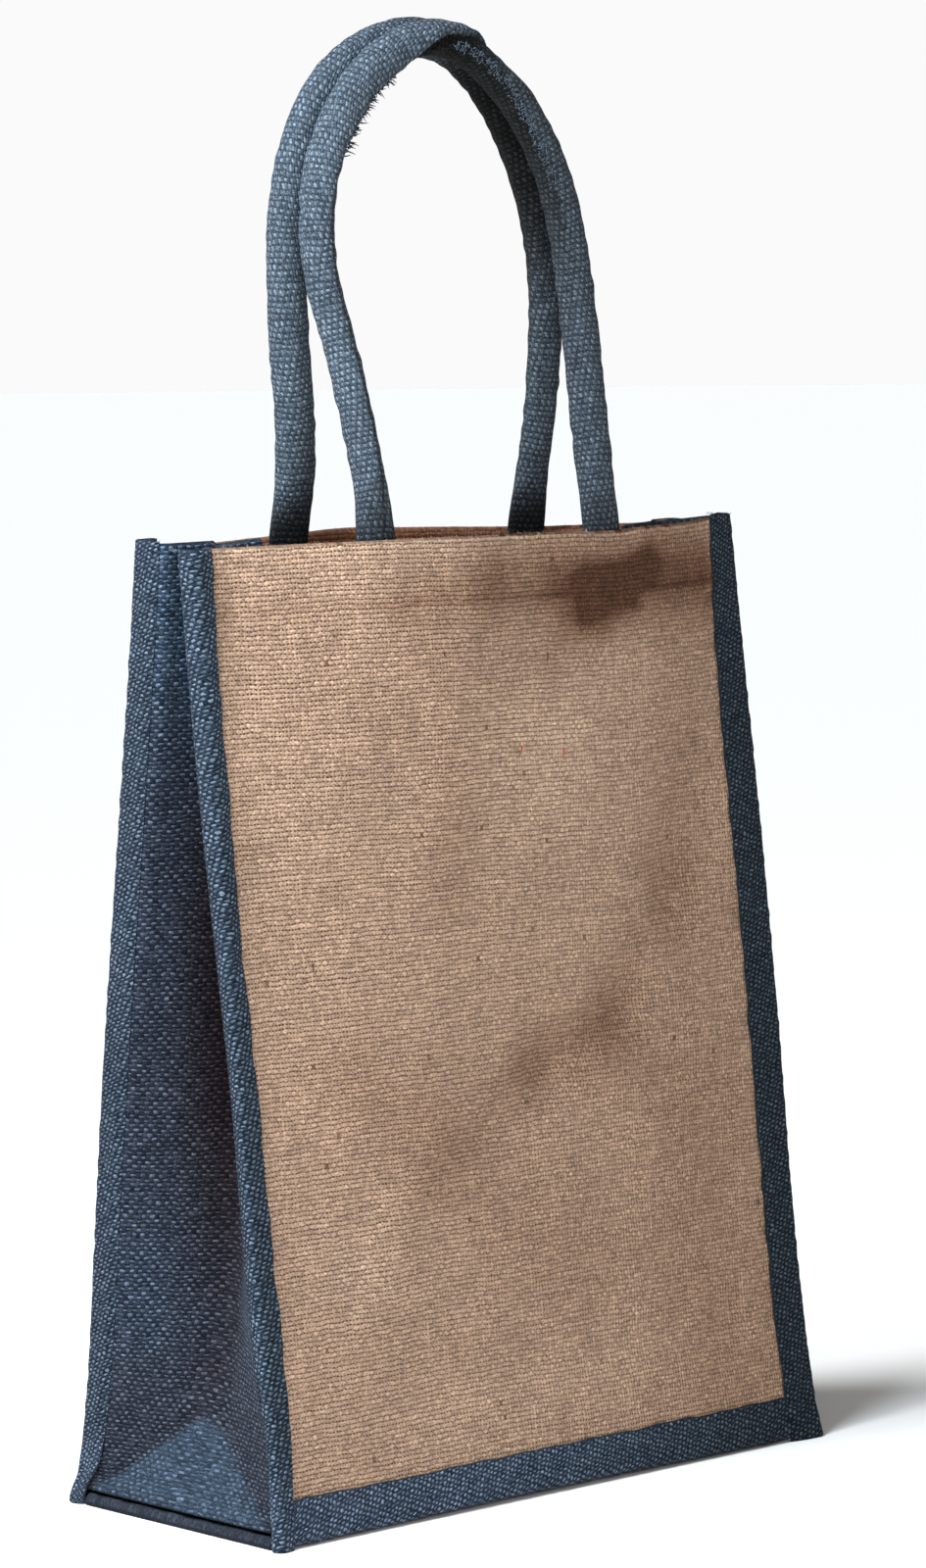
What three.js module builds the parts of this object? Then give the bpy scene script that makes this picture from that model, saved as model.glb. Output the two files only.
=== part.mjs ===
import * as THREE from 'three';

// Jute tote bag, standing open on its base. Millimetres, X to the right, Y to the back, Z up,
// origin on the floor under the middle of the base.

// Driving sizes
const slantHeight = 400;
const baseDepth = 132;
const mouthCornerDepth = 38;
const mouthHalfWidth = 153;
const lean = (baseDepth - mouthCornerDepth) / 2;
const bagHeight = Math.sqrt(slantHeight ** 2 - lean ** 2);

// Cloth and seams
const clothThickness = 1.8;
const stripThickness = 2;
const seamGap = 0.5;
const hemDepth = 26;
const hemExtra = 1.6;
const panelBottom = 4.2;
const panelInset = 5.2;
const behindStrip = stripThickness + seamGap + clothThickness / 2;

// Base panel and the lip rolled along its two short ends
const baseThickness = 2;
const lipHeight = 4.6;
const lipWidth = 8;
const lipRound = 2;
const lipSide = 2.8;
const lipExtra = 3.4;
const lipClearance = 0.2;
const baseStations = [-70, 0, 70];

// Strips over the seams: a soft swell across the middle, more at the knot by the floor
const stripSwell = 0.5;
const stripTop = 0.6;
const knotSwell = 1.2;
const knotShare = 0.06;
const cornerFillet = 4;
const bottomFaceHeight = 18.5;
const bottomUnderWidth = 10;
const bottomLift = 1.4;
const bottomFillet = 6;

// Colours read off the cloth
const jute = new THREE.MeshStandardMaterial({ color: 0xb89a78, roughness: 0.95, metalness: 0 });
const blueCloth = new THREE.MeshStandardMaterial({ color: 0x3a5266, roughness: 0.92, metalness: 0 });
const handleCloth = new THREE.MeshStandardMaterial({ color: 0x4c6273, roughness: 0.92, metalness: 0 });

// Distance of the strips' outer edge from the middle, by height
const sideLine = [
  { z: 0, left: 155.2, right: 156 },
  { z: 14, left: 154.4, right: 155.4 },
  { z: 50, left: 153.8, right: 153.4 },
  { z: 110, left: 154.4, right: 152.6 },
  { z: 180, left: 154.4, right: 154 },
  { z: 250, left: 154.2, right: 154.4 },
  { z: 340, left: 153.6, right: 153.2 },
  { z: 400, left: 153, right: 152.8 },
];

// How far each wall is drawn in from the straight line between base and mouth
const waist = [
  { z: 0, front: 0, back: -1.6 },
  { z: 20, front: 0.2, back: 0.4 },
  { z: 56, front: 0.4, back: 1.6 },
  { z: 110, front: 0.2, back: 1.4 },
  { z: 180, front: 0, back: 0.4 },
  { z: 300, front: 0, back: 0.6 },
  { z: 360, front: 0, back: 0.4 },
  { z: 400, front: 0, back: -0.6 },
];

// How far the handles pull the mouth open, beyond the corners
const mouthPull = [
  { x: -134, out: 0 },
  { x: -110, out: 7 },
  { x: -62, out: 16.5 },
  { x: -25, out: 18.5 },
  { x: 25, out: 15.5 },
  { x: 68, out: 12 },
  { x: 110, out: 5 },
  { x: 134, out: 0 },
];
const pullStart = 140;
const sewnFlat = 18;
const freeToFold = 34;

// Height lost along the front and back hems
const frontSag = [
  { x: -153, drop: 0 },
  { x: -60, drop: -0.4 },
  { x: -20, drop: 0 },
  { x: 20, drop: 0.4 },
  { x: 72, drop: 2.2 },
  { x: 98, drop: 1.6 },
  { x: 136, drop: 1 },
  { x: 153, drop: -1.2 },
];
const backSag = [
  { x: -153, drop: -3 },
  { x: -60, drop: -0.6 },
  { x: -24, drop: -1.2 },
  { x: 20, drop: 0.4 },
  { x: 84, drop: 2.6 },
  { x: 136, drop: 3 },
  { x: 153, drop: 2.2 },
];

// Soft folds of the front panel: a stroke from start to end, its half width and its rise
const frontFolds = [
  { x0: -97, z0: 82, x1: -57, z1: 152, width: 11, rise: 2.2 },
  { x0: -86, z0: 186, x1: -42, z1: 160, width: 20, rise: 2.4 },
  { x0: -24, z0: 150, x1: 16, z1: 176, width: 13, rise: -2.8 },
  { x0: 16, z0: 176, x1: 64, z1: 197, width: 12, rise: -3.4 },
  { x0: 66, z0: 200, x1: 94, z1: 246, width: 16, rise: -3 },
  { x0: 94, z0: 246, x1: 134, z1: 286, width: 20, rise: -2.6 },
  { x0: -38, z0: 300, x1: -32, z1: 384, width: 26, rise: 2.4 },
  { x0: 54, z0: 352, x1: 104, z1: 374, width: 15, rise: -4.2 },
  { x0: -90, z0: 48, x1: 110, z1: 58, width: 13, rise: -1.6 },
];

// Width of each upright strip on the panel's face and round the corner on the gusset
const frontLeftStrip = [
  { z: 0, face: 7, side: 5 },
  { z: 40, face: 9.6, side: 5 },
  { z: 95, face: 10, side: 6.6 },
  { z: 180, face: 9, side: 6 },
  { z: 300, face: 7.6, side: 10.5 },
  { z: 400, face: 9.6, side: 11.2 },
];
const frontRightStrip = [
  { z: 0, face: 18.2, side: 6 },
  { z: 80, face: 17.8, side: 7 },
  { z: 150, face: 16.6, side: 7 },
  { z: 250, face: 14.6, side: 10 },
  { z: 400, face: 12, side: 11 },
];
const backStrip = [
  { z: 0, face: 12, side: 8.2 },
  { z: 7, face: 12, side: 8.4 },
  { z: 20, face: 12, side: 14 },
  { z: 150, face: 14, side: 16 },
  { z: 300, face: 13, side: 16 },
  { z: 400, face: 12, side: 15.5 },
];

// Gusset: length of cloth from the strip's edge to the fold, and the sloping triangle at its foot
const foldReach = 50.3;
const footTopHeight = 52;
const footTopInset = 14;
const footBottomHeight = 8;
const footBlend = 2.5;
const gussetBottom = 6.4;
const gussetTopGap = 1;
const gussetTipRise = 3.3;
const gussetFillet = 5;
const tipFilletPerGap = 0.22;

// Handles: route over the front one, from the left foot to the right foot, above the hem.
// lean is the distance from the middle plane of the bag.
const frontRoute = [
  { x: -61, z: 398, lean: 25.5 },
  { x: -60.8, z: 418, lean: 22.4 },
  { x: -63, z: 443, lean: 18.2 },
  { x: -67.6, z: 476, lean: 12.6 },
  { x: -74.6, z: 506, lean: 9.2 },
  { x: -76.4, z: 530, lean: 8.9 },
  { x: -71.2, z: 555, lean: 8.9 },
  { x: -55.6, z: 581, lean: 8.9 },
  { x: -32, z: 598, lean: 8.9 },
  { x: -8, z: 602.6, lean: 8.9 },
  { x: 15.4, z: 593.5, lean: 8.9 },
  { x: 37.6, z: 574, lean: 8.9 },
  { x: 54.9, z: 548, lean: 8.9 },
  { x: 64.9, z: 517, lean: 8.9 },
  { x: 69.2, z: 482, lean: 10.6 },
  { x: 69.2, z: 446, lean: 15.6 },
  { x: 69, z: 420, lean: 19.4 },
  { x: 70, z: 398, lean: 21.8 },
];
const backRoute = [
  { x: -64, z: 398, lean: 25.5 },
  { x: -63.8, z: 422, lean: 22 },
  { x: -67.6, z: 449, lean: 17.2 },
  { x: -73.8, z: 476, lean: 12.6 },
  { x: -77.8, z: 504, lean: 9.2 },
  { x: -77.4, z: 530, lean: 8.9 },
  { x: -71.6, z: 555.5, lean: 8.9 },
  { x: -56.4, z: 582, lean: 8.9 },
  { x: -34, z: 598, lean: 8.9 },
  { x: -8, z: 604, lean: 8.9 },
  { x: 15.4, z: 598, lean: 8.9 },
  { x: 37, z: 580, lean: 8.9 },
  { x: 53.8, z: 554, lean: 8.9 },
  { x: 64.4, z: 524, lean: 8.9 },
  { x: 68.4, z: 494, lean: 9.4 },
  { x: 70.6, z: 455, lean: 14.4 },
  { x: 69.2, z: 422, lean: 19 },
  { x: 67.8, z: 398, lean: 21.8 },
];

// Half thickness of each leg of the handles by height
const handleGirth = [
  { z: 430, frontLeft: 7.3, frontRight: 8.5, backLeft: 8.5, backRight: 7.3 },
  { z: 500, frontLeft: 7.5, frontRight: 8.4, backLeft: 8.4, backRight: 7.7 },
  { z: 545, frontLeft: 8.1, frontRight: 8.1, backLeft: 8.1, backRight: 8.1 },
];
const footHalfWidth = 10.5;
const footHalfDepth = 2.9;
const footLength = 40;
const footFlatTop = 396;
const footRoundTop = 432;

// Grid sizes
const frontCells = { across: 30, up: 30, hem: 3 };
const backCells = { across: 20, up: 20, hem: 2 };
const gussetRows = 20;
const gussetLegCells = [1, 5, 5, 2];
const gussetCornerCells = [2, 4, 2];
const stripRows = 22;
const stripLegCells = [3, 3];
const stripCornerCells = [3];
const stripCells = 9;
const bottomCells = 12;
const baseCells = 5;
const handleSides = 10;
const handleSteps = 56;

// Smooth curve through the rows of a table, flat beyond its ends
function along(rows, key, value) {
  return (at) => {
    const last = rows.length - 1;
    if (at <= rows[0][key]) return rows[0][value];
    if (at >= rows[last][key]) return rows[last][value];
    const i = rows.findIndex((row) => row[key] > at) - 1;
    const span = rows[i + 1][key] - rows[i][key];
    const t = (at - rows[i][key]) / span;
    const slope = (k) => {
      const before = rows[Math.max(k - 1, 0)];
      const after = rows[Math.min(k + 1, last)];
      return (after[value] - before[value]) / (after[key] - before[key]);
    };
    const a = rows[i][value];
    const b = rows[i + 1][value];
    const easeB = t * t * (3 - 2 * t);
    const lift = t * (1 - t) * (1 - t) * slope(i) * span;
    const settle = t * t * (1 - t) * slope(i + 1) * span;
    return a * (1 - easeB) + b * easeB + lift - settle;
  };
}

function ease(from, to, at) {
  const t = THREE.MathUtils.clamp((at - from) / (to - from), 0, 1);
  return t * t * (3 - 2 * t);
}

const leftAt = along(sideLine, 'z', 'left');
const rightAt = along(sideLine, 'z', 'right');
const frontWaistAt = along(waist, 'z', 'front');
const backWaistAt = along(waist, 'z', 'back');
const pullAt = along(mouthPull, 'x', 'out');
const frontSagAt = along(frontSag, 'x', 'drop');
const backSagAt = along(backSag, 'x', 'drop');

// Distance of the strips' outer edge from the middle; side is -1 left or 1 right
function sideAt(side, z) {
  return side < 0 ? leftAt(z) : rightAt(z);
}

// Distance of the strips' outer face from the middle plane; face is -1 front or 1 back
function wallDepth(face, z) {
  const drawn = face < 0 ? frontWaistAt(z) : backWaistAt(z);
  return baseDepth / 2 - lean * (z / bagHeight) - drawn;
}

function strokeRise(fold, x, z) {
  const run = new THREE.Vector2(fold.x1 - fold.x0, fold.z1 - fold.z0);
  const from = new THREE.Vector2(x - fold.x0, z - fold.z0);
  const t = THREE.MathUtils.clamp(from.dot(run) / run.lengthSq(), 0, 1);
  const distance = from.sub(run.multiplyScalar(t)).length();
  return fold.rise * Math.exp(-((distance / fold.width) ** 2));
}

// Keeps folds and pull away from the strips, where the panel is sewn flat
function slack(x, z) {
  const fromSide = sideAt(Math.sign(x), z) - Math.abs(x);
  return ease(sewnFlat, freeToFold, fromSide) * ease(sewnFlat, freeToFold, z);
}

function wallBulge(x, z, folds) {
  const pull = pullAt(x) * ease(pullStart, bagHeight, z);
  const fold = folds.reduce((sum, row) => sum + strokeRise(row, x, z), 0);
  return pull + fold * slack(x, z);
}

// Distance of a panel's middle surface from the middle plane
function panelDepth(face, x, z) {
  const folds = face < 0 ? frontFolds : [];
  return wallDepth(face, z) - behindStrip + wallBulge(x, z, folds);
}

// A sheet of cloth: two skins either side of a middle surface, closed at its four edges.
// The outer skin lies on the side of the cross product of the u and v directions.
function sheet(cellsU, cellsV, middle, outer, inner) {
  const grid = [];
  for (let j = 0; j <= cellsV; j += 1) {
    for (let i = 0; i <= cellsU; i += 1) {
      grid.push(middle(i / cellsU, j / cellsV));
    }
  }
  const stride = cellsU + 1;
  const at = (i, j) => grid[j * stride + i];
  const positions = [];
  const skin = (side) => {
    for (let j = 0; j <= cellsV; j += 1) {
      for (let i = 0; i <= cellsU; i += 1) {
        const du = at(Math.min(i + 1, cellsU), j).clone().sub(at(Math.max(i - 1, 0), j));
        const dv = at(i, Math.min(j + 1, cellsV)).clone().sub(at(i, Math.max(j - 1, 0)));
        const normal = du.cross(dv).normalize();
        const offset = side > 0 ? outer(i / cellsU, j / cellsV) : -inner(i / cellsU, j / cellsV);
        const point = at(i, j).clone().addScaledVector(normal, offset);
        positions.push(point.x, point.y, point.z);
      }
    }
  };
  skin(1);
  skin(-1);
  const under = stride * (cellsV + 1);
  const index = [];
  const quad = (a, b, c, d) => index.push(a, b, c, a, c, d);
  for (let j = 0; j < cellsV; j += 1) {
    for (let i = 0; i < cellsU; i += 1) {
      const a = j * stride + i;
      quad(a, a + 1, a + 1 + stride, a + stride);
      quad(under + a, under + a + stride, under + a + 1 + stride, under + a + 1);
    }
  }
  for (let i = 0; i < cellsU; i += 1) {
    const top = cellsV * stride + i;
    quad(i, under + i, under + i + 1, i + 1);
    quad(top, top + 1, under + top + 1, under + top);
  }
  for (let j = 0; j < cellsV; j += 1) {
    const left = j * stride;
    const right = left + cellsU;
    quad(left, left + stride, under + left + stride, under + left);
    quad(right, under + right, under + right + stride, right + stride);
  }
  return closedGeometry(positions, index);
}

function closedGeometry(positions, index) {
  const geometry = new THREE.BufferGeometry();
  geometry.setAttribute('position', new THREE.Float32BufferAttribute(positions, 3));
  geometry.setIndex(index);
  geometry.computeVertexNormals();
  return geometry;
}

// Points along straight legs joined by rounded corners; the cell lists give the steps in each
function roundedPath(corners, radii, legCells, cornerCells) {
  const path = [];
  const mostOfLeg = 0.45;
  let start = corners[0];
  for (let k = 1; k < corners.length; k += 1) {
    const corner = corners[k];
    const steps = legCells[k - 1];
    const back = corners[k - 1].clone().sub(corner);
    if (k === corners.length - 1) {
      for (let i = 0; i <= steps; i += 1) {
        path.push(start.clone().lerp(corner, i / steps));
      }
      return path;
    }
    const forward = corners[k + 1].clone().sub(corner);
    const shorter = Math.min(back.length(), forward.length());
    const reach = Math.min(radii[k - 1], shorter * mostOfLeg);
    const legEnd = corner.clone().addScaledVector(back.normalize(), reach);
    const turnEnd = corner.clone().addScaledVector(forward.normalize(), reach);
    for (let i = 0; i < steps; i += 1) {
      path.push(start.clone().lerp(legEnd, i / steps));
    }
    const turn = new THREE.QuadraticBezierCurve(legEnd, corner, turnEnd);
    for (let i = 0; i < cornerCells[k - 1]; i += 1) {
      path.push(turn.getPoint(i / cornerCells[k - 1]));
    }
    start = turnEnd;
  }
  return path;
}

// Rows close together at the foot, where the outline flares, and wider apart above it
function rowHeight(v, bottom, top) {
  const crowding = 0.45;
  return bottom + (top - bottom) * v * (1 - crowding + crowding * v);
}

// Front and back panels. face is -1 for the front and 1 for the back.
function panel(face, cells, sagAt) {
  const hemRow = 1 - cells.hem / cells.up;
  const middle = (u, v) => {
    const share = -face * (2 * u - 1);
    const top = bagHeight - sagAt(share * mouthHalfWidth);
    const hemLine = top - hemDepth;
    const z = v <= hemRow
      ? rowHeight(v / hemRow, panelBottom, hemLine)
      : THREE.MathUtils.lerp(hemLine, top, (v - hemRow) / (1 - hemRow));
    const x = share * (sideAt(Math.sign(share), z) - panelInset);
    return new THREE.Vector3(x, face * panelDepth(face, x, z), z);
  };
  const halfRow = 0.5 / cells.up;
  const outer = () => clothThickness / 2;
  const inner = (u, v) => clothThickness / 2 + (v > hemRow + halfRow ? hemExtra : 0);
  return sheet(cells.across, cells.up, middle, outer, inner);
}

// Plan of a gusset at one height, from the front panel to the back panel. side is -1 for the left.
function gussetPlan(side, z, front, back) {
  const edgeX = sideAt(side, z) - behindStrip;
  const clear = behindStrip + clothThickness + hemExtra + seamGap;
  const frontY = -wallDepth(-1, z) + clear;
  const backY = wallDepth(1, z) - clear;
  const frontTurn = Math.max(-wallDepth(-1, z) + front(z), frontY + 1);
  const backTurn = Math.min(wallDepth(1, z) - back(z), backY - 1);
  const halfGap = (backTurn - frontTurn) / 2;
  const reach = Math.sqrt(Math.max(foldReach ** 2 - halfGap ** 2, footTopInset ** 2));
  const corners = [
    new THREE.Vector2(edgeX, frontY),
    new THREE.Vector2(edgeX, frontTurn),
    new THREE.Vector2(edgeX - reach, (frontTurn + backTurn) / 2),
    new THREE.Vector2(edgeX, backTurn),
    new THREE.Vector2(edgeX, backY),
  ];
  const tipFillet = gussetFillet + tipFilletPerGap * halfGap;
  const fillets = [gussetFillet, tipFillet, gussetFillet];
  const path = roundedPath(corners, fillets, gussetLegCells, gussetCornerCells);
  const slope = footTopInset / (footTopHeight - footBottomHeight);
  const footInset = z < footTopHeight ? Math.max(z - footBottomHeight, 0) * slope : foldReach;
  return path.map((point) => {
    const inset = softMin(edgeX - point.x, footInset, footBlend);
    return new THREE.Vector2(side * (edgeX - inset), point.y);
  });
}

// Smaller of two distances, rounded where they are within the blend of each other
function softMin(a, b, blend) {
  const overlap = Math.max(blend - Math.abs(a - b), 0);
  return Math.max(Math.min(a, b) - (overlap * overlap) / (4 * blend), 0);
}

// Folded side panel. side is -1 for the left.
function gusset(side, frontTable) {
  const front = along(frontTable, 'z', 'side');
  const back = along(backStrip, 'z', 'side');
  const tops = gussetPlan(side, bagHeight, front, back).map((point) => {
    const inset = Math.max(sideAt(side, bagHeight) - Math.abs(point.x), 0) / foldReach;
    const sagAt = point.y < 0 ? frontSagAt : backSagAt;
    const sag = sagAt(side * mouthHalfWidth) * (1 - inset);
    return bagHeight - gussetTopGap + gussetTipRise * inset - sag;
  });
  const cells = tops.length - 1;
  const middle = (u, v) => {
    const i = Math.round(u * cells);
    const z = rowHeight(v, gussetBottom, tops[i]);
    const plan = gussetPlan(side, z, front, back)[i];
    return new THREE.Vector3(plan.x, plan.y, z);
  };
  const topRow = 1 - 0.5 / gussetRows;
  const plain = () => clothThickness / 2;
  const hemmed = (u, v) => clothThickness / 2 + (v > topRow ? hemExtra / 2 : 0);
  return side < 0
    ? sheet(cells, gussetRows, (u, v) => middle(1 - u, v), plain, hemmed)
    : sheet(cells, gussetRows, middle, plain, hemmed);
}

// Upright strip round one corner. side is -1 left or 1 right, face is -1 front or 1 back.
function cornerStrip(side, face, table, sagAt) {
  const faceWidth = along(table, 'z', 'face');
  const sideWidth = along(table, 'z', 'side');
  const half = stripThickness / 2;
  const top = bagHeight + stripTop - sagAt(side * mouthHalfWidth);
  const middle = (u, v) => {
    const z = rowHeight(v, 0, top);
    const cornerX = sideAt(side, z) - half;
    const cornerY = wallDepth(face, z) - half;
    const path = roundedPath([
      new THREE.Vector2(cornerX + half - faceWidth(z), cornerY),
      new THREE.Vector2(cornerX, cornerY),
      new THREE.Vector2(cornerX, cornerY + half - sideWidth(z)),
    ], [cornerFillet], stripLegCells, stripCornerCells);
    const point = path[Math.round(u * stripCells)];
    return new THREE.Vector3(side * point.x, face * point.y, z);
  };
  const plain = () => half;
  const swollen = (u, v) => {
    const knot = knotSwell * (1 - ease(0, knotShare, v));
    return half + (stripSwell + knot) * Math.sin(Math.PI * u);
  };
  return side * face < 0
    ? sheet(stripCells, stripRows, middle, swollen, plain)
    : sheet(stripCells, stripRows, (u, v) => middle(1 - u, v), (u, v) => swollen(1 - u, v), plain);
}

// Bottom strip: down the face, round the bottom seam and a little way under the base
function bottomStrip(face, leftTable, rightTable) {
  const half = stripThickness / 2;
  const leftFace = along(leftTable, 'z', 'face');
  const rightFace = along(rightTable, 'z', 'face');
  const middle = (u, v) => {
    const crown = bottomLift * Math.sin(Math.PI * u) ** 2;
    const path = roundedPath([
      new THREE.Vector2(wallDepth(face, bottomFaceHeight) - half, bottomFaceHeight),
      new THREE.Vector2(wallDepth(face, 0) - half, half + crown),
      new THREE.Vector2(wallDepth(face, 0) - bottomUnderWidth, half),
    ], [bottomFillet], stripLegCells, stripCornerCells);
    const point = path[Math.round(v * stripCells)];
    const left = -sideAt(-1, point.y) + leftFace(point.y) + 2 * seamGap;
    const right = sideAt(1, point.y) - rightFace(point.y) - 2 * seamGap;
    return new THREE.Vector3(THREE.MathUtils.lerp(left, right, u), face * point.x, point.y);
  };
  const plain = () => half;
  const swollen = (u, v) => half + stripSwell * Math.sin(Math.PI * Math.min(v * 2, 1));
  return face > 0
    ? sheet(bottomCells, stripCells, middle, swollen, plain)
    : sheet(bottomCells, stripCells, (u, v) => middle(1 - u, v), swollen, plain);
}

// Flat base between the bottom strips, its short ends thickened into the rolled lip
function basePanel() {
  const half = baseThickness / 2;
  const frontEdge = -wallDepth(-1, 0) + bottomUnderWidth + seamGap;
  const backEdge = wallDepth(1, 0) - bottomUnderWidth - seamGap;
  const lipRows = [
    { in: 0, top: lipSide, wide: lipExtra },
    { in: lipRound / 2, top: lipHeight, wide: lipExtra },
    { in: lipRound, top: lipHeight, wide: lipExtra },
    { in: lipWidth - lipRound, top: lipHeight, wide: lipExtra },
    { in: lipWidth, top: baseThickness, wide: 0 },
  ];
  const lipAt = (side) => lipRows.map((row) => ({
    x: side * (sideAt(side, 0) - lipClearance - row.in),
    top: row.top,
    wide: row.wide,
  }));
  const flat = baseStations.map((x) => ({ x, top: baseThickness, wide: 0 }));
  const stations = [...lipAt(-1), ...flat, ...lipAt(1).reverse()];
  const cells = stations.length - 1;
  const station = (u) => stations[Math.round(u * cells)];
  const middle = (u, v) => {
    const y = THREE.MathUtils.lerp(frontEdge - station(u).wide, backEdge, v);
    return new THREE.Vector3(station(u).x, y, half);
  };
  return sheet(cells, baseCells, middle, (u) => station(u).top - half, () => half);
}

// Stuffed tube with flat sewn feet inside the mouth. face is -1 for the front handle.
function handle(face, route, leftKey, rightKey) {
  const first = route[0];
  const last = route[route.length - 1];
  const leftGirth = along(handleGirth, 'z', leftKey);
  const rightGirth = along(handleGirth, 'z', rightKey);
  const acrossFoot = [-1, -0.5, 0, 0.5, 1];
  const footAt = (x, z) => {
    const depths = acrossFoot.map((share) => panelDepth(face, x + share * footHalfWidth, z));
    return Math.min(...depths) - clothThickness / 2 - hemExtra - seamGap - footHalfDepth;
  };
  const footPoint = (row, down) => {
    const z = bagHeight - down;
    return new THREE.Vector3(row.x, face * footAt(row.x, z), z);
  };
  const curve = new THREE.CatmullRomCurve3([
    footPoint(first, footLength),
    footPoint(first, footLength / 2),
    ...route.map((row) => new THREE.Vector3(row.x, face * row.lean, row.z)),
    footPoint(last, footLength / 2),
    footPoint(last, footLength),
  ], false, 'centripetal');
  const rings = [];
  for (let i = 0; i <= handleSteps; i += 1) {
    const centre = curve.getPointAt(i / handleSteps);
    const tangent = curve.getTangentAt(i / handleSteps);
    const outward = new THREE.Vector3(0, face, 0);
    outward.addScaledVector(tangent, -outward.dot(tangent)).normalize();
    const across = outward.clone().cross(tangent);
    const girth = centre.x < 0 ? leftGirth(centre.z) : rightGirth(centre.z);
    const round = ease(footFlatTop, footRoundTop, centre.z);
    const halfWidth = THREE.MathUtils.lerp(footHalfWidth, girth, round);
    const halfDepth = THREE.MathUtils.lerp(footHalfDepth, girth, round);
    const ring = [];
    for (let k = 0; k < handleSides; k += 1) {
      const angle = (2 * Math.PI * k) / handleSides;
      ring.push(centre.clone()
        .addScaledVector(across, Math.cos(angle) * halfWidth)
        .addScaledVector(outward, Math.sin(angle) * halfDepth));
    }
    rings.push(ring);
  }
  return tube(rings);
}

// Skin over rings of equal count, with a fan over each end
function tube(rings) {
  const count = rings[0].length;
  const positions = rings.flat().flatMap((point) => [point.x, point.y, point.z]);
  const centreOf = (ring) => ring.reduce((sum, point) => sum.add(point), new THREE.Vector3())
    .divideScalar(count);
  const startCentre = centreOf(rings[0]);
  const endCentre = centreOf(rings[rings.length - 1]);
  positions.push(startCentre.x, startCentre.y, startCentre.z, endCentre.x, endCentre.y, endCentre.z);
  const startIndex = rings.length * count;
  const index = [];
  for (let j = 0; j < rings.length - 1; j += 1) {
    for (let i = 0; i < count; i += 1) {
      const next = (i + 1) % count;
      const a = j * count;
      const b = a + count;
      index.push(a + i, a + next, b + next, a + i, b + next, b + i);
    }
  }
  const end = (rings.length - 1) * count;
  for (let i = 0; i < count; i += 1) {
    const next = (i + 1) % count;
    index.push(startIndex, next, i);
    index.push(startIndex + 1, end + i, end + next);
  }
  return closedGeometry(positions, index);
}

const bag = new THREE.Group();

function add(name, geometry, material) {
  const mesh = new THREE.Mesh(geometry, material.clone());
  mesh.name = name;
  bag.add(mesh);
}

add('front_panel', panel(-1, frontCells, frontSagAt), jute);
add('back_panel', panel(1, backCells, backSagAt), jute);
add('gusset_left', gusset(-1, frontLeftStrip), blueCloth);
add('gusset_right', gusset(1, frontRightStrip), blueCloth);
add('base_panel', basePanel(), blueCloth);
add('strip_front_left', cornerStrip(-1, -1, frontLeftStrip, frontSagAt), blueCloth);
add('strip_front_right', cornerStrip(1, -1, frontRightStrip, frontSagAt), blueCloth);
add('strip_back_left', cornerStrip(-1, 1, backStrip, backSagAt), blueCloth);
add('strip_back_right', cornerStrip(1, 1, backStrip, backSagAt), blueCloth);
add('strip_front_bottom', bottomStrip(-1, frontLeftStrip, frontRightStrip), blueCloth);
add('strip_back_bottom', bottomStrip(1, backStrip, backStrip), blueCloth);
add('handle_front', handle(-1, frontRoute, 'frontLeft', 'frontRight'), handleCloth);
add('handle_back', handle(1, backRoute, 'backLeft', 'backRight'), handleCloth);

export default bag;
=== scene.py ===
import math

import bmesh
import bpy
import numpy as np
from mathutils import Matrix, Vector


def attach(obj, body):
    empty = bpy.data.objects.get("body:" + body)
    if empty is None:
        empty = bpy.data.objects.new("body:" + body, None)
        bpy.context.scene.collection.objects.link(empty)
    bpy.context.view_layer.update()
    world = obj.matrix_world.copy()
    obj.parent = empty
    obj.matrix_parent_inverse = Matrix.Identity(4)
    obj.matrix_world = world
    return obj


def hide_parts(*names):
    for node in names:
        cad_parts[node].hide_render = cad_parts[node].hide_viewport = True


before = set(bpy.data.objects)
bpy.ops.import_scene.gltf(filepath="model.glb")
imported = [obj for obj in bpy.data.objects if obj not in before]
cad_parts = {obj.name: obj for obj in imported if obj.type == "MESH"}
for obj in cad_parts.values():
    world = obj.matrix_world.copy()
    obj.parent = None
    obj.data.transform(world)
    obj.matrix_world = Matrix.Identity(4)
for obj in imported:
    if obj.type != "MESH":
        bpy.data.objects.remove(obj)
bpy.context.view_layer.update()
mm = 0.001
tau = 2 * math.pi
print("frame loaded")

# the photograph's camera: place in mm, then how its right, up and back axes stand in the frame
cameraView = {
    "place": (-1651.57, -1802.14, 537.67),
    "yaw": 0.744568,
    "pitch": 0.100224,
    "roll": -0.010943,
    "lens": 134.32,
    "sensor": 36.0,
    "clip": (0.05, 100),
}


# looks along (sin yaw cos pitch, cos yaw cos pitch, -sin pitch), then turned about that line by the roll
def placeCamera(view):
    cy, sy = math.cos(view["yaw"]), math.sin(view["yaw"])
    cp, sp = math.cos(view["pitch"]), math.sin(view["pitch"])
    cr, sr = math.cos(view["roll"]), math.sin(view["roll"])
    forward = Vector((sy * cp, cy * cp, -sp))
    level = Vector((cy, -sy, 0))
    upright = level.cross(forward)
    right = level * cr + upright * sr
    up = upright * cr - level * sr
    lens = bpy.data.cameras.new("photoCamera")
    lens.lens = view["lens"]
    lens.sensor_width = view["sensor"]
    lens.clip_start, lens.clip_end = view["clip"]
    camera = bpy.data.objects.new("photoCamera", lens)
    bpy.context.scene.collection.objects.link(camera)
    turn = Matrix((right, up, -forward)).transposed().to_4x4()
    camera.matrix_world = Matrix.Translation(Vector(view["place"]) * mm) @ turn
    bpy.context.scene.camera = camera


placeCamera(cameraView)
print("camera placed")


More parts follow.
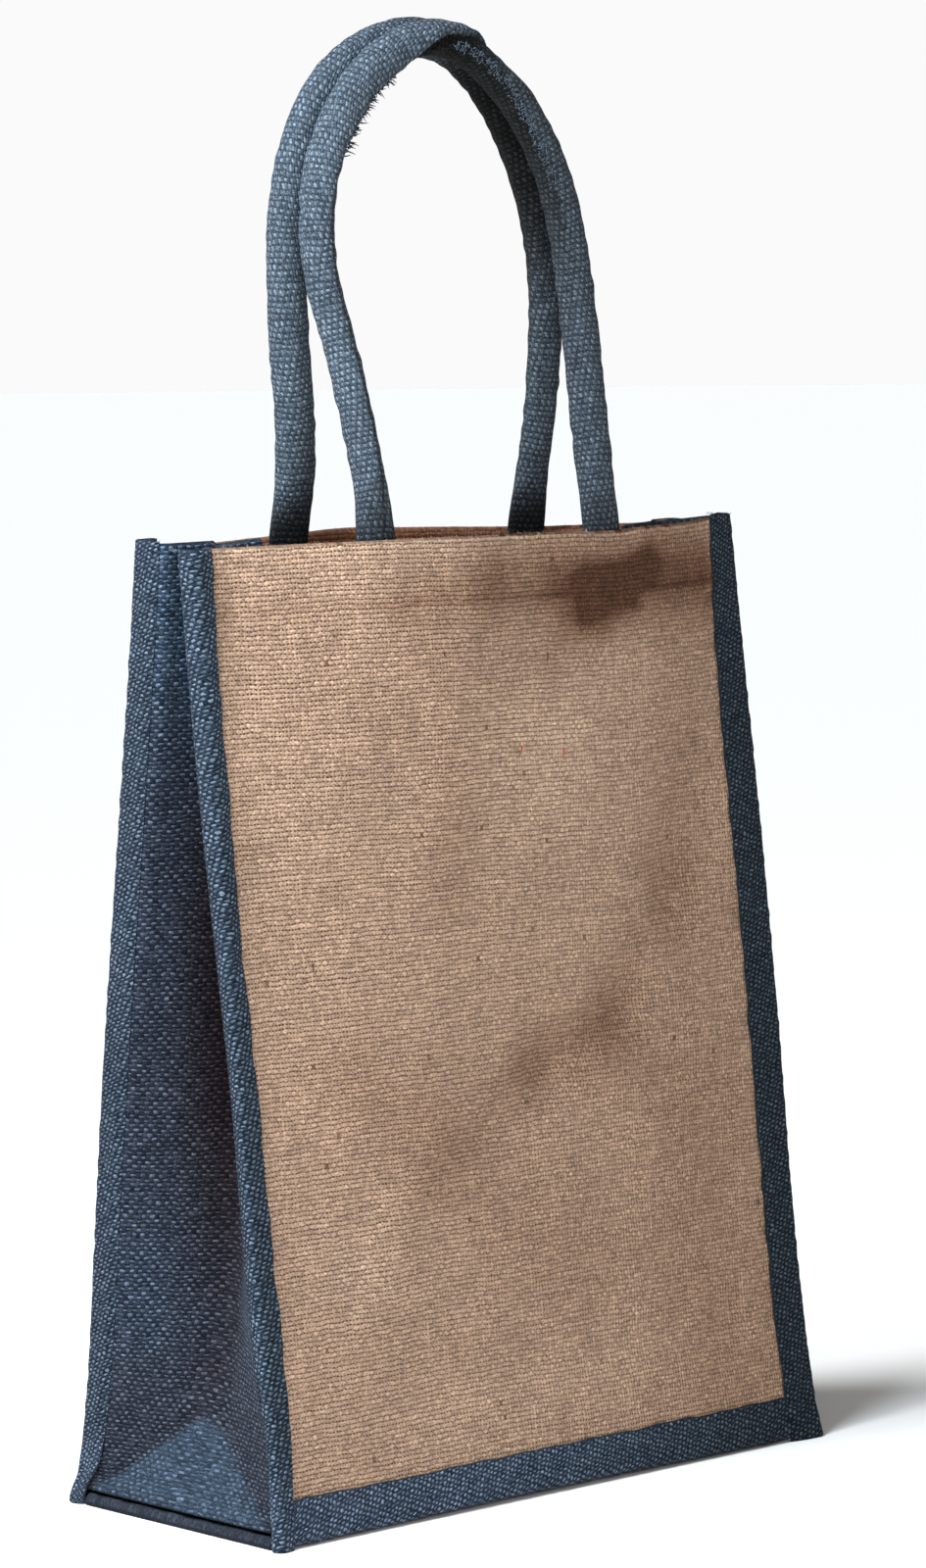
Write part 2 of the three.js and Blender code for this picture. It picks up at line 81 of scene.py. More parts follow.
# cubic through the rows of a table, each row's slope taken from the rows either side, flat beyond the ends
def curveThrough(table, key, value):
    xs, ys = np.array(table[key], float), np.array(table[value], float)

    def at(q):
        q = np.clip(q, xs[0], xs[-1])
        i = np.clip(np.searchsorted(xs, q, side="right") - 1, 0, len(xs) - 2)
        before, after = np.maximum(i - 1, 0), np.minimum(i + 2, len(xs) - 1)
        slopeIn = (ys[i + 1] - ys[before]) / (xs[i + 1] - xs[before])
        slopeOut = (ys[after] - ys[i]) / (xs[after] - xs[i])
        span = xs[i + 1] - xs[i]
        t = (q - xs[i]) / span
        e = t * t * (3 - 2 * t)
        return ys[i] * (1 - e) + ys[i + 1] * e + span * t * (1 - t) * ((1 - t) * slopeIn - t * slopeOut)

    return at


# 0 before start, 1 after end, smooth between; start may be the larger
def ease(start, end, at):
    t = np.clip((at - start) / (end - start), 0, 1)
    return t * t * (3 - 2 * t)


# sum of plane waves of random heading and phase, wavelengths about size, values mostly within -1 and 1
def softNoise(x, y, size, seed, waves=10):
    dice = np.random.default_rng(seed)
    total = 0
    for heading, phase, stretch in dice.uniform((0, 0, 0.65), (tau, tau, 1.6), (waves, 3)):
        total = total + np.sin((x * math.cos(heading) + y * math.sin(heading)) * tau / (size * stretch) + phase)
    return total / math.sqrt(waves)


# uneven cloth from a setting of height and wavelength: height * noise
def bumps(setting, x, y, seed, waves=10):
    return setting[0] * softNoise(x, y, setting[1], seed, waves)


# a bell over distance: 1 in the middle, falling as e^-(distance / width)^2
def bell(distance, width):
    return np.exp(-(distance / width) ** 2)


# the bell of a setting of middle and width
def band(setting, at):
    return bell(at - setting[0], setting[1])


# mesh from whole arrays: points in mm, faces as rows of four corners, uv in mm for every point
def makePiece(name, points, faces, uv, attributes=None):
    mesh = bpy.data.meshes.new(name)
    mesh.vertices.add(len(points))
    mesh.vertices.foreach_set("co", (points * mm).astype(np.float32).ravel())
    corners = faces.ravel().astype(np.int32)
    mesh.loops.add(len(corners))
    mesh.loops.foreach_set("vertex_index", corners)
    mesh.polygons.add(len(faces))
    mesh.polygons.foreach_set("loop_start", np.arange(0, len(corners), 4, dtype=np.int32))
    mesh.polygons.foreach_set("use_smooth", np.ones(len(faces), bool))
    layer = mesh.uv_layers.new(name="flat")
    layer.data.foreach_set("uv", (uv[corners] * mm).astype(np.float32).ravel())
    for key, values in (attributes or {}).items():
        mesh.attributes.new(key, "FLOAT", "POINT").data.foreach_set("value", values.astype(np.float32).ravel())
    mesh.update(calc_edges=True)
    mesh.validate()
    piece = bpy.data.objects.new(name, mesh)
    bpy.context.scene.collection.objects.link(piece)
    return piece


# faces of a grid of rows by columns, counter-clockwise where columns run right and rows run up
def gridFaces(rows, columns, wrap=False):
    i, j = np.meshgrid(np.arange(columns if wrap else columns - 1), np.arange(rows - 1))
    right = (i + 1) % columns
    low, high = j * columns, (j + 1) * columns
    return np.stack([low + i, low + right, high + right, high + i], -1).reshape(-1, 4)


# every vector over its own length
def unit(vectors):
    return vectors / np.maximum(np.linalg.norm(vectors, axis=-1, keepdims=True), 1e-9)


# differences across each grid point, one sided at the edges
def steps(grid, axis):
    after = np.concatenate([np.take(grid, range(1, grid.shape[axis]), axis), np.take(grid, [-1], axis)], axis)
    before = np.concatenate([np.take(grid, [0], axis), np.take(grid, range(grid.shape[axis] - 1), axis)], axis)
    return after - before


rimReach = 0.42  # how far the rounded edge of a cloth stands out, as a share of its thickness


# a sheet of cloth: two skins off a middle surface along its normal, joined by a rounded edge;
# the outer skin is on the side of (along columns) x (along rows)
def makeSheet(name, middle, outer, inner, attributes=None):
    rows, columns = middle.shape[:2]
    alongU, alongV = unit(steps(middle, 1)), unit(steps(middle, 0))
    normal = unit(np.cross(alongU, alongV))
    outer, inner = np.broadcast_to(outer, (rows, columns)), np.broadcast_to(inner, (rows, columns))
    front = middle + normal * outer[..., None]
    back = middle - normal * inner[..., None]
    # j and i walk once round the edge of the grid
    lastRow, lastColumn = rows - 1, columns - 1
    up, along = np.arange(lastRow), np.arange(lastColumn)
    j = np.concatenate([0 * along, up, 0 * along + lastRow, lastRow - up])
    i = np.concatenate([along, 0 * up + lastColumn, lastColumn - along, 0 * up])
    outward = alongV[j, i] * ((j == lastRow) * 1 - (j == 0) * 1)[:, None]
    outward = outward + alongU[j, i] * ((i == lastColumn) * 1 - (i == 0) * 1)[:, None]
    rim = (front[j, i] + back[j, i]) / 2 + unit(outward) * ((outer + inner)[j, i] * rimReach)[:, None]
    count = rows * columns
    faces = gridFaces(rows, columns)
    k = np.arange(len(j))
    n = (k + 1) % len(j)
    edge = j * columns + i
    side = np.stack([edge[k], 2 * count + k, 2 * count + n, edge[n]], -1)
    under = np.stack([2 * count + k, count + edge[k], count + edge[n], 2 * count + n], -1)
    lengthU = np.linalg.norm(np.diff(middle, axis=1), axis=2).mean(0)
    lengthV = np.linalg.norm(np.diff(middle, axis=0), axis=2).mean(1)
    flatU = np.concatenate([[0], np.cumsum(lengthU)])
    flatV = np.concatenate([[0], np.cumsum(lengthV)])
    flat = np.stack(np.meshgrid(flatU, flatV), -1)
    points = np.concatenate([front.reshape(-1, 3), back.reshape(-1, 3), rim])
    uv = np.concatenate([flat.reshape(-1, 2), flat.reshape(-1, 2), flat[j, i]])
    carried = {"inside": np.concatenate([np.zeros(count), np.ones(count), np.full(len(j), 0.5)])}
    for key, values in (attributes or {}).items():
        values = np.broadcast_to(values, (rows, columns))
        carried[key] = np.concatenate([values.ravel(), values.ravel(), values[j, i]])
    everyFace = np.concatenate([faces, (faces + count)[:, ::-1], side, under])
    piece = makePiece(name, points, everyFace, uv, carried)
    print(f"  {name}: {len(everyFace) * 2} triangles, flat {flatU[-1]:.1f} x {flatV[-1]:.1f} mm")
    return piece


# corners joined by straight legs and rounded turns, for every row at once; a corner is a pair of arrays,
# rows by columns, and a turn is the curve L (1-t)^2 + 2 C t (1-t) + N t^2 from leg end L by corner C to next leg N
def roundedPath(corners, radii, legCells, turnCells):
    path = np.empty(corners[0][0].shape + (2,))
    corners = [np.stack(corner, -1) for corner in corners]
    start, column = corners[0], 0
    for k in range(1, len(corners)):
        back = corners[k - 1] - corners[k]
        legEnd = corners[k]
        if k < len(corners) - 1:
            ahead = corners[k + 1] - corners[k]
            shorter = np.minimum(np.linalg.norm(back, axis=-1), np.linalg.norm(ahead, axis=-1))
            reach = np.minimum(radii[k - 1], shorter * 0.45)[..., None]  # a turn leaves some of each leg straight
            legEnd = corners[k] + unit(back) * reach
        extra = 1 if k == len(corners) - 1 else 0
        here = slice(column, column + legCells[k - 1] + extra)
        t = (np.arange(legCells[k - 1] + extra) / legCells[k - 1])[:, None]
        path[:, here] = start[:, here] * (1 - t) + legEnd[:, here] * t
        column += legCells[k - 1]
        if k < len(corners) - 1:
            turnEnd = corners[k] + unit(ahead) * reach
            here = slice(column, column + turnCells[k - 1])
            t = (np.arange(turnCells[k - 1]) / turnCells[k - 1])[:, None]
            bend = corners[k][:, here] * 2 * t * (1 - t)
            path[:, here] = legEnd[:, here] * (1 - t) ** 2 + bend + turnEnd[:, here] * t * t
            column += turnCells[k - 1]
            start = turnEnd
    return path[..., 0], path[..., 1]


threadTaper = 0.7  # a thread loses this share of its radius by its tip


# thin bent threads, each a tapered four sided tube: root + heading s + bend s s, for s from 0 to 1
def makeThreads(name, roots, headings, bends, radius, segments=4):
    s = np.linspace(0, 1, segments + 1)[None, :, None]
    line = roots[:, None] + headings[:, None] * s + bends[:, None] * s * s
    tangent = unit(headings[:, None] + 2 * bends[:, None] * s)
    helper = np.where(np.abs(tangent[..., 2:]) > 0.8, np.array([1.0, 0, 0]), np.array([0, 0, 1.0]))
    sideways = unit(np.cross(tangent, helper))
    other = np.cross(tangent, sideways)
    angle = (np.arange(4) * tau / 4)[:, None]
    taper = (radius * (1 - threadTaper * s ** 2))[:, :, None]
    ring = line[:, :, None] + taper * (sideways[:, :, None] * np.cos(angle) + other[:, :, None] * np.sin(angle))
    count, per = len(roots), (segments + 1) * 4
    ends = [[3, 2, 1, 0], [per - 4, per - 3, per - 2, per - 1]]
    faces = np.concatenate([gridFaces(segments + 1, 4, wrap=True), ends])
    everyFace = (faces[None] + (np.arange(count) * per)[:, None, None]).reshape(-1, 4)
    rings = count * (segments + 1)
    uv = np.stack([np.tile(np.arange(4), rings) * 0.2, np.repeat(np.arange(rings), 4)], -1)
    return makePiece(name, ring.reshape(-1, 3), everyFace, uv.astype(float))


print("tools ready")

# shapes that the pieces share, in mm, as in the part
bag = {
    "height": math.sqrt(400 ** 2 - 47 ** 2),
    "baseDepth": 132, "lean": 47, "mouthHalfWidth": 153,
    "cloth": 1.3, "strip": 1.2, "gap": 0.2, "hemDepth": 26, "hemExtra": 1.6,
}
behindStrip = bag["strip"] + bag["gap"] + bag["cloth"] / 2
sideLine = {
    "z": (0, 14, 50, 110, 180, 250, 340, 400),
    "left": (155.2, 154.4, 153.8, 154.4, 154.4, 154.2, 153.6, 153),
    "right": (156, 155.4, 153.4, 152.6, 154, 154.4, 153.2, 152.8),
}
waistLine = {
    "z": (0, 20, 56, 110, 180, 300, 360, 400),
    "front": (0, 0.2, 0.4, 0.2, 0, 0, 0, 0),
    "back": (-1.6, 0.4, 1.6, 1.4, 0.4, 0.6, 0.4, -0.6),
}
frontSag = {"x": (-153, -60, -20, 20, 72, 98, 136, 153), "drop": (0, -0.4, 0, 0.4, 2.2, 1.6, 1, -1.2)}
backSag = {
    "x": (-153, -143, -110, -60, -24, 20, 84, 136, 153),
    "drop": (-3, 0.6, 0.8, -0.2, -1.2, 0.4, 2.6, 3, 2.2),
}
mouthPull = {
    "x": (-134, -110, -62, -25, 25, 68, 110, 134),
    "out": (0, 7, 16.5, 18.5, 15.5, 12, 5, 0),
}
leftAt, rightAt = curveThrough(sideLine, "z", "left"), curveThrough(sideLine, "z", "right")
frontWaistAt, backWaistAt = curveThrough(waistLine, "z", "front"), curveThrough(waistLine, "z", "back")
frontSagAt, backSagAt = curveThrough(frontSag, "x", "drop"), curveThrough(backSag, "x", "drop")
pullAt = curveThrough(mouthPull, "x", "out")


# outer edge of the strips from the middle; side is -1 left or 1 right, or an array of them
def sideAt(side, z):
    return np.where(np.asarray(side) < 0, leftAt(z), rightAt(z))


# outer face of the strips from the middle plane; face is -1 front or 1 back
def wallDepth(face, z):
    drawn = frontWaistAt(z) if face < 0 else backWaistAt(z)
    return bag["baseDepth"] / 2 - bag["lean"] * z / bag["height"] - drawn


# sum of soft strokes, each a rise times the bell of the distance to its line from (x0, z0) to (x1, z1)
def strokes(table, x, z, value="rise"):
    total = np.zeros(np.broadcast(x, z).shape)
    rows = zip(*(table[key] for key in ("x0", "z0", "x1", "z1", "width", value)))
    for x0, z0, x1, z1, width, rise in rows:
        runX, runZ = x1 - x0, z1 - z0
        t = np.clip(((x - x0) * runX + (z - z0) * runZ) / (runX ** 2 + runZ ** 2), 0, 1)
        distance = np.hypot(x - x0 - t * runX, z - z0 - t * runZ)
        total = total + rise * bell(distance, width)
    return total


panelShape = {
    "bottom": 4.2, "inset": 5.2, "pullStart": 140,
    "sewnFlat": (18, 34),  # from the edges, where the cloth begins to fold freely
    "cockle": (0.5, 44), "ripple": (0.14, 15), "pucker": (0.35, 9.0),  # height and wavelength
    "puckerAt": (22, 9), "stitchAt": (-2, 1.4), "stitchDip": 0.3,
    # painted shade in the groove along the hem's stitch line, and the limits of the painted shade and light
    "hemLine": (-1, 1.3), "hemLineDark": 0.22, "darkest": 0.84, "lightest": -0.4,
    "fineSpan": (-90, 110), "fineLean": 0.25, "fineLevel": 200,  # where the weave looks finer, to the right
}
frontFolds = {
    "x0": (-97, -86, -24, 16, 66, 94, -38, 54, -90),
    "z0": (82, 186, 150, 176, 200, 246, 300, 352, 48),
    "x1": (-57, -42, 16, 64, 94, 134, -32, 104, 110),
    "z1": (152, 160, 176, 197, 246, 286, 384, 374, 58),
    "width": (11, 20, 13, 12, 16, 20, 26, 17, 13),
    "rise": (2.2, 2.4, -2.8, -3.4, -3, -2.6, 2.4, -2.8, -1.6),
}
# painted shade on the front panel, as strokes: the shadow in the dent under the right handle's foot, shade in the
# fold valleys, and the darker right side and lower middle; negative dark is painted light on the lit folds and
# patches
frontShade = {
    "x0": (-135, -10, 100, -15, -5, 35, -60, 50, 50, 38, -42, -36,
           5, 55, -95, 100, -45, 95, 20, -130, 74, -110, 60, 100),
    "z0": (372, 377, 388, 328, 288, 378, 374, 375, 362, 356, 362, 335,
           174, 190, 185, 150, 150, 300, 300, 330, 240, 110, 60, 376),
    "x1": (-80, 45, 135, 65, 75, 135, -5, 93, 82, 62, 18, -40,
           52, 104, -52, 106, 20, 100, 40, -90, 84, -90, -60, 128),
    "z1": (335, 372, 384, 318, 280, 368, 382, 382, 365, 354, 342, 255,
           184, 246, 148, 20, 95, 230, 235, 260, 215, 100, 30, 374),
    "width": (30, 15, 12, 24, 26, 18, 11, 8, 7.5, 8, 20, 13,
              17, 18, 22, 34, 30, 30, 34, 44, 9, 16, 20, 13),
    "dark": (0.06, 0.3, 0.22, -0.13, -0.1, 0.42, 0.2, 0.58, 0.5, 0.24, 0.14, 0.14,
             0.28, 0.18, 0.14, 0.2, 0.12, 0.08, -0.06, -0.02, -0.16, -0.1, -0.06, 0.25),
}
backFolds = {"x0": (-60,), "z0": (80,), "x1": (40,), "z1": (150,), "width": (24,), "rise": (-1.5,)}
# painted shade on the back panel near the back handle's right foot
backShade = {"x0": (60,), "z0": (366,), "x1": (112,), "z1": (376,), "width": (16,), "dark": (0.1,)}


# 0 where the panel is sewn flat near the strips, 1 where it is free to fold
def slack(x, z):
    return ease(*panelShape["sewnFlat"], sideAt(np.sign(x), z) - np.abs(x)) * ease(*panelShape["sewnFlat"], z)


# depth of a panel's middle surface from the middle plane, without the fine folds
def panelDepth(face, x, z):
    folds = strokes(frontFolds, x, z) if face < 0 else 0
    pull = pullAt(x) * ease(panelShape["pullStart"], bag["height"], z)
    return wallDepth(face, z) - behindStrip + pull + folds * slack(x, z)


# panel over x and height: the wall's depth + soft folds + cockle + ripple + pucker along the strips
def makePanel(name, face, across, up, sagAt, folds, shade, seed):
    g = panelShape
    share = np.linspace(face, -face, across + 1)[None]
    v = np.linspace(0, 1, up + 1)[:, None]
    top = bag["height"] - sagAt(share * bag["mouthHalfWidth"])
    z = g["bottom"] + (top - g["bottom"]) * v
    side = sideAt(np.sign(share), z)
    x = share * (side - g["inset"])
    free = slack(x, z)
    depth = panelDepth(face, x, z)
    if face > 0:
        depth = depth + strokes(folds, x, z) * free
    depth = depth + free * bumps(g["cockle"], x, z, seed) + bumps(g["ripple"], x, z, seed + 1)
    nearStrip = band(g["puckerAt"], np.abs(side - np.abs(x)))
    depth = depth + nearStrip * bumps(g["pucker"], 0 * x, z, seed + 2, 5)
    belowHem = top - z - bag["hemDepth"]
    outer = bag["cloth"] / 2 - g["stitchDip"] * band(g["stitchAt"], belowHem)
    inner = bag["cloth"] / 2 + bag["hemExtra"] * ease(1, -1, belowHem)
    # painted shade and light from the strokes, and painted shade in the groove along the hem's stitch line, held
    # between the darkest and lightest
    dark = strokes(shade, x, z, "dark") + g["hemLineDark"] * band(g["hemLine"], belowHem)
    dark = np.clip(dark, g["lightest"], g["darkest"])
    fine = ease(*g["fineSpan"], x - g["fineLean"] * (z - g["fineLevel"]))
    middle = np.stack([x, face * depth, z], -1)
    return makeSheet(name, middle, outer, inner, {"dark": dark, "fine": fine})


frontPanel = makePanel("frontPanel", -1, 150, 200, frontSagAt, frontFolds, frontShade, 3)
backPanel = makePanel("backPanel", 1, 120, 160, backSagAt, backFolds, backShade, 13)
print("panels made")

gussetShape = {
    "foldReach": 50.3, "footTop": 52, "footInset": 15.5, "footBottom": 8, "footBlend": 1.6,
    "bottom": 6.4, "topGap": 1, "fillet": 5, "tipFillet": 0.22,
    "legCells": (4, 22, 24, 6), "turnCells": (6, 12, 6), "rows": 220, "rowPower": 1.15,
    "cockle": (0.45, 38), "freeIn": (2, 12), "freeUp": (12, 50),
    "roll": 1.2, "rollAt": (9.5, 3.2), "rollEnds": (58, 43.5),
    "beyond": 2.0, "beyondUp": (20, 60),  # flat this far past the strips
}
# painted shade and light on a gusset: an amount, by how deep in the fold and how high up it is; painted shade in the
# fold's valley, across the middle and above the foot, painted light where below 0, at the top, on the back half and
# on the foot
gussetShade = {
    "valley": 0.62, "valleyIn": (0.12, 0.62), "valleyUp": (345, 235),
    "top": -0.25, "topUp": (300, 385),
    "middle": 0.26, "middleFrom": (360, 290), "middleTo": (60, 200),
    "backHalf": -0.1, "backIn": (0.45, 0.15), "backUp": (150, 250),
    "foot": -0.1, "aboveFoot": 0.3, "aboveFootUp": (90, 45), "footFine": 0.55,
}
frontLeftStrip = {
    "z": (0, 40, 95, 180, 300, 400), "face": (7, 9.6, 10, 9, 7.6, 9.6), "side": (5, 5, 6.6, 6, 10.5, 11.2),
}
frontRightStrip = {
    "z": (0, 80, 150, 250, 350, 385, 400), "face": (18.2, 18.1, 18.2, 18.7, 16.9, 14.2, 13.2),
    "side": (6, 7, 7, 10, 10.7, 11, 11),
}
backStrip = {
    "z": (0, 7, 20, 150, 300, 400), "face": (12, 12, 12, 14, 13, 12), "side": (8.2, 8.4, 14, 16, 16, 15.5),
}


# plan of a gusset at heights z (rows x columns): in from the front strip to the fold and out to the back strip,
# drawn in no further than the sloping foot allows: inset = smooth least of the fold's inset and the foot's
def gussetPlan(side, z, frontAt, backAt):
    g = gussetShape
    edge = sideAt(side, z) - behindStrip
    clear = behindStrip + bag["cloth"] + bag["hemExtra"] + bag["gap"]
    frontY = -wallDepth(-1, z) + clear
    backY = wallDepth(1, z) - clear
    beyond = g["beyond"] * ease(*g["beyondUp"], z)
    frontTurn = np.maximum(-wallDepth(-1, z) + frontAt(z) + beyond, frontY + 1)
    backTurn = np.minimum(wallDepth(1, z) - backAt(z) - beyond, backY - 1)
    halfGap = (backTurn - frontTurn) / 2
    reach = np.sqrt(np.maximum(g["foldReach"] ** 2 - halfGap ** 2, g["footInset"] ** 2))
    tip = (edge - reach, (frontTurn + backTurn) / 2)
    corners = [(edge, frontY), (edge, frontTurn), tip, (edge, backTurn), (edge, backY)]
    radii = [g["fillet"], g["fillet"] + g["tipFillet"] * halfGap, g["fillet"]]
    pathX, pathY = roundedPath(corners, radii, g["legCells"], g["turnCells"])
    slope = g["footInset"] / (g["footTop"] - g["footBottom"])
    foot = np.where(z < g["footTop"], np.maximum(z - g["footBottom"], 0) * slope, g["foldReach"])
    inset = edge - pathX
    overlap = np.maximum(g["footBlend"] - np.abs(inset - foot), 0)
    onFoot = ease(0, 2, inset - foot)
    inset = np.maximum(np.minimum(inset, foot) - overlap ** 2 / (4 * g["footBlend"]), 0)
    return inset, pathY, edge, onFoot


# gusset over its plan and height: the plan's inset + cockle where it is free - a roll above the base
def makeGusset(name, side, frontTable, seed, tipRise):
    g, s = gussetShape, gussetShade
    frontAt, backAt = curveThrough(frontTable, "z", "side"), curveThrough(backStrip, "z", "side")
    columns = sum(g["legCells"]) + sum(g["turnCells"]) + 1
    inset, y, edge, onFoot = gussetPlan(side, np.full((1, columns), bag["height"]), frontAt, backAt)
    share = np.clip(inset / g["foldReach"], 0, 1)
    corner = side * bag["mouthHalfWidth"]
    sag = np.where(y < 0, frontSagAt(corner), backSagAt(corner)) * (1 - share)
    top = bag["height"] - g["topGap"] + tipRise * share - sag
    v = np.linspace(0, 1, g["rows"] + 1)[:, None] ** g["rowPower"]
    z = g["bottom"] + (top - g["bottom"]) * v
    inset, y, edge, onFoot = gussetPlan(side, z, frontAt, backAt)
    free = ease(*g["freeIn"], inset) * ease(*g["freeUp"], z)
    inset = inset + free * bumps(g["cockle"], y, z, seed)
    inset = inset - g["roll"] * band(g["rollAt"], z) * ease(*g["rollEnds"], np.abs(y))
    middle = np.stack([side * (edge - inset), y, z], -1)
    inner = bag["cloth"] / 2 + bag["hemExtra"] / 2 * ease(1, -1, top - z - bag["hemDepth"])
    depth = inset / g["foldReach"]
    # painted shade deep in the fold, across the middle and above the foot; painted light at the top, on the back half
    # and on the foot
    dark = s["valley"] * ease(*s["valleyIn"], depth) * ease(*s["valleyUp"], z) + s["top"] * ease(*s["topUp"], z)
    dark = dark + s["middle"] * ease(*s["middleFrom"], z) * ease(*s["middleTo"], z)
    dark = dark + s["backHalf"] * ease(*s["backIn"], depth) * ease(*s["backUp"], z) * (y > 0)
    dark = (dark + s["aboveFoot"] * ease(*s["aboveFootUp"], z)) * (1 - onFoot) + s["foot"] * onFoot
    if side < 0:
        middle, inner, dark, onFoot = middle[:, ::-1], inner[:, ::-1], dark[:, ::-1], onFoot[:, ::-1]
    return makeSheet(name, middle, bag["cloth"] / 2, inner, {"dark": dark, "fine": s["footFine"] * onFoot})


gussetLeft = makeGusset("gussetLeft", -1, frontLeftStrip, 21, tipRise=3.3)
gussetRight = makeGusset("gussetRight", 1, frontRightStrip, 22, tipRise=-1.2)
print("gussets made")

stripShape = {
    "legCells": (9, 9), "turnCells": (6,), "rows": 230, "rowPower": 1.1, "fillet": 4, "top": 0.6,
    "swell": 0.4, "swellPower": 0.6, "knot": 1.4, "knotHeight": 16,  # the knot is the lump at the strip's foot
    "pressed": 1.45, "pressedFrom": 0.85, "sunk": 0.3,  # the edge on the gusset lies flat and a little sunk
    "edgeWander": (0.45, 26), "lumps": (0.16, 7), "lumpSpan": 14, "shadeTurn": (0.42, 0.62),
    # painted light on the foot of the left strips
    "leftFootDark": -0.4, "leftFootUp": (40, 14),
    "faceHeight": 18.5, "under": 10, "lift": 1.4, "bottomFillet": 6, "bottomCells": 190,
    "bottomLength": 290, "lumpsEnd": (0.7, 0.5), "shadeAcross": (-40, 130),
}


# swelling of a strip's outer skin along a share of its width: half thickness + swell sin(pi share)^power
def swollen(share, swell):
    return bag["strip"] / 2 + swell * np.sin(math.pi * share) ** stripShape["swellPower"]


# upright strip: an L in plan, round the corner, following the corner's line up the bag
def makeCornerStrip(name, side, face, table, sagAt, seed, faceDark, sideDark):
    g = stripShape
    half = bag["strip"] / 2
    columns = sum(g["legCells"]) + sum(g["turnCells"]) + 1
    top = bag["height"] + g["top"] - sagAt(side * bag["mouthHalfWidth"])
    v = np.linspace(0, 1, g["rows"] + 1)[:, None] ** g["rowPower"]
    z = top * v + np.zeros((1, columns))
    faceWidth = curveThrough(table, "z", "face")(z) + bumps(g["edgeWander"], z, 0 * z, seed, 6)
    sideWidth = curveThrough(table, "z", "side")(z)
    cornerX, cornerY = sideAt(side, z) - half, wallDepth(face, z) - half
    corners = [(cornerX + half - faceWidth, cornerY), (cornerX, cornerY), (cornerX, cornerY + half - sideWidth)]
    x, y = roundedPath(corners, [g["fillet"]], g["legCells"], g["turnCells"])
    u = np.linspace(0, 1, columns)[None]
    outer = swollen(u, g["swell"] + g["knot"] * ease(g["knotHeight"], 0, z))
    outer = outer + bumps(g["lumps"], u * g["lumpSpan"], z, seed + 1)
    pressed = ease(g["pressedFrom"], 1, u) * ease(g["knotHeight"], 2 * g["knotHeight"], z)
    outer = outer - g["pressed"] * pressed
    inner = half + g["sunk"] * pressed
    # painted shade on the strip's face and side, turning at the corner; below 0 it is painted light
    dark = faceDark + (sideDark - faceDark) * ease(*g["shadeTurn"], u) + 0 * z
    # painted light low on the left strips
    if side < 0:
        dark = dark + g["leftFootDark"] * ease(*g["leftFootUp"], z)
    middle = np.stack([side * x, face * y, z], -1)
    if side * face > 0:
        middle, outer, inner, dark = middle[:, ::-1], outer[:, ::-1], inner[:, ::-1], dark[:, ::-1]
    return makeSheet(name, middle, outer, inner, {"dark": dark})


# bottom strip: down the face, round the seam and under the base
def makeBottomStrip(name, face, leftTable, rightTable, seed, leftDark, rightDark):
    g = stripShape
    half = bag["strip"] / 2
    leftFace, rightFace = curveThrough(leftTable, "z", "face"), curveThrough(rightTable, "z", "face")
    cells = sum(g["legCells"]) + sum(g["turnCells"])
    u = np.linspace(0, 1, g["bottomCells"] + 1)[:, None] + np.zeros((1, cells + 1))
    crown = g["lift"] * np.sin(math.pi * u) ** 2
    upper = g["faceHeight"] + bumps(g["edgeWander"], u * g["bottomLength"], 0 * u, seed, 6)
    foot = wallDepth(face, 0 * u)
    corners = [(wallDepth(face, upper) - half, upper), (foot - half, half + crown), (foot - g["under"], half + 0 * u)]
    y, z = roundedPath(corners, [g["bottomFillet"]], g["legCells"], g["turnCells"])
    left = -sideAt(-1, z) + leftFace(z) + 2 * bag["gap"]
    right = sideAt(1, z) - rightFace(z) - 2 * bag["gap"]
    x = left + (right - left) * u
    v = np.linspace(0, 1, cells + 1)[None]
    outer = swollen(np.clip(v * 2, 0, 1), g["swell"])
    outer = outer + ease(*g["lumpsEnd"], v) * bumps(g["lumps"], x, v * 2 * g["lumpSpan"], seed + 1)
    middle, outer = np.stack([x, face * y, z], -1).transpose(1, 0, 2), outer.T
    if face < 0:
        middle, outer = middle[:, ::-1], outer[:, ::-1]
    # painted shade across a bottom strip, from its left end to its right; below 0 it is painted light
    dark = leftDark + (rightDark - leftDark) * ease(*g["shadeAcross"], middle[..., 0])
    return makeSheet(name, middle, outer, half, {"dark": dark})


# the last numbers are painted shade on a strip's face and side, or on a bottom strip's left and right ends; below 0
# they are painted light
strips = {
    "strip_front_left": makeCornerStrip("stripFrontLeft", -1, -1, frontLeftStrip, frontSagAt, 31, 0.2, 0),
    "strip_front_right": makeCornerStrip("stripFrontRight", 1, -1, frontRightStrip, frontSagAt, 33, 0.5, 0.3),
    "strip_back_left": makeCornerStrip("stripBackLeft", -1, 1, backStrip, backSagAt, 35, 0.1, 0.1),
    "strip_back_right": makeCornerStrip("stripBackRight", 1, 1, backStrip, backSagAt, 37, 0.1, 0.1),
    "strip_front_bottom": makeBottomStrip("stripFrontBottom", -1, frontLeftStrip, frontRightStrip, 39, -0.35, 0.42),
    "strip_back_bottom": makeBottomStrip("stripBackBottom", 1, backStrip, backStrip, 41, 0.15, 0.15),
}
print("strips made")

baseShape = {
    "thick": 2.0, "lipTop": 4.6, "lipWidth": 8, "lipExtra": 3.4, "clear": 0.2, "under": 10,
    "across": 180, "deep": 70, "crowding": 0.999,  # grid lines crowd towards both ends
    "lumps": (0.12, 16), "lumpStretch": 0.3, "endPinch": 0.6, "pinchFrom": 1.6, "lipDark": 0.4, "lipFine": 1.25,
}


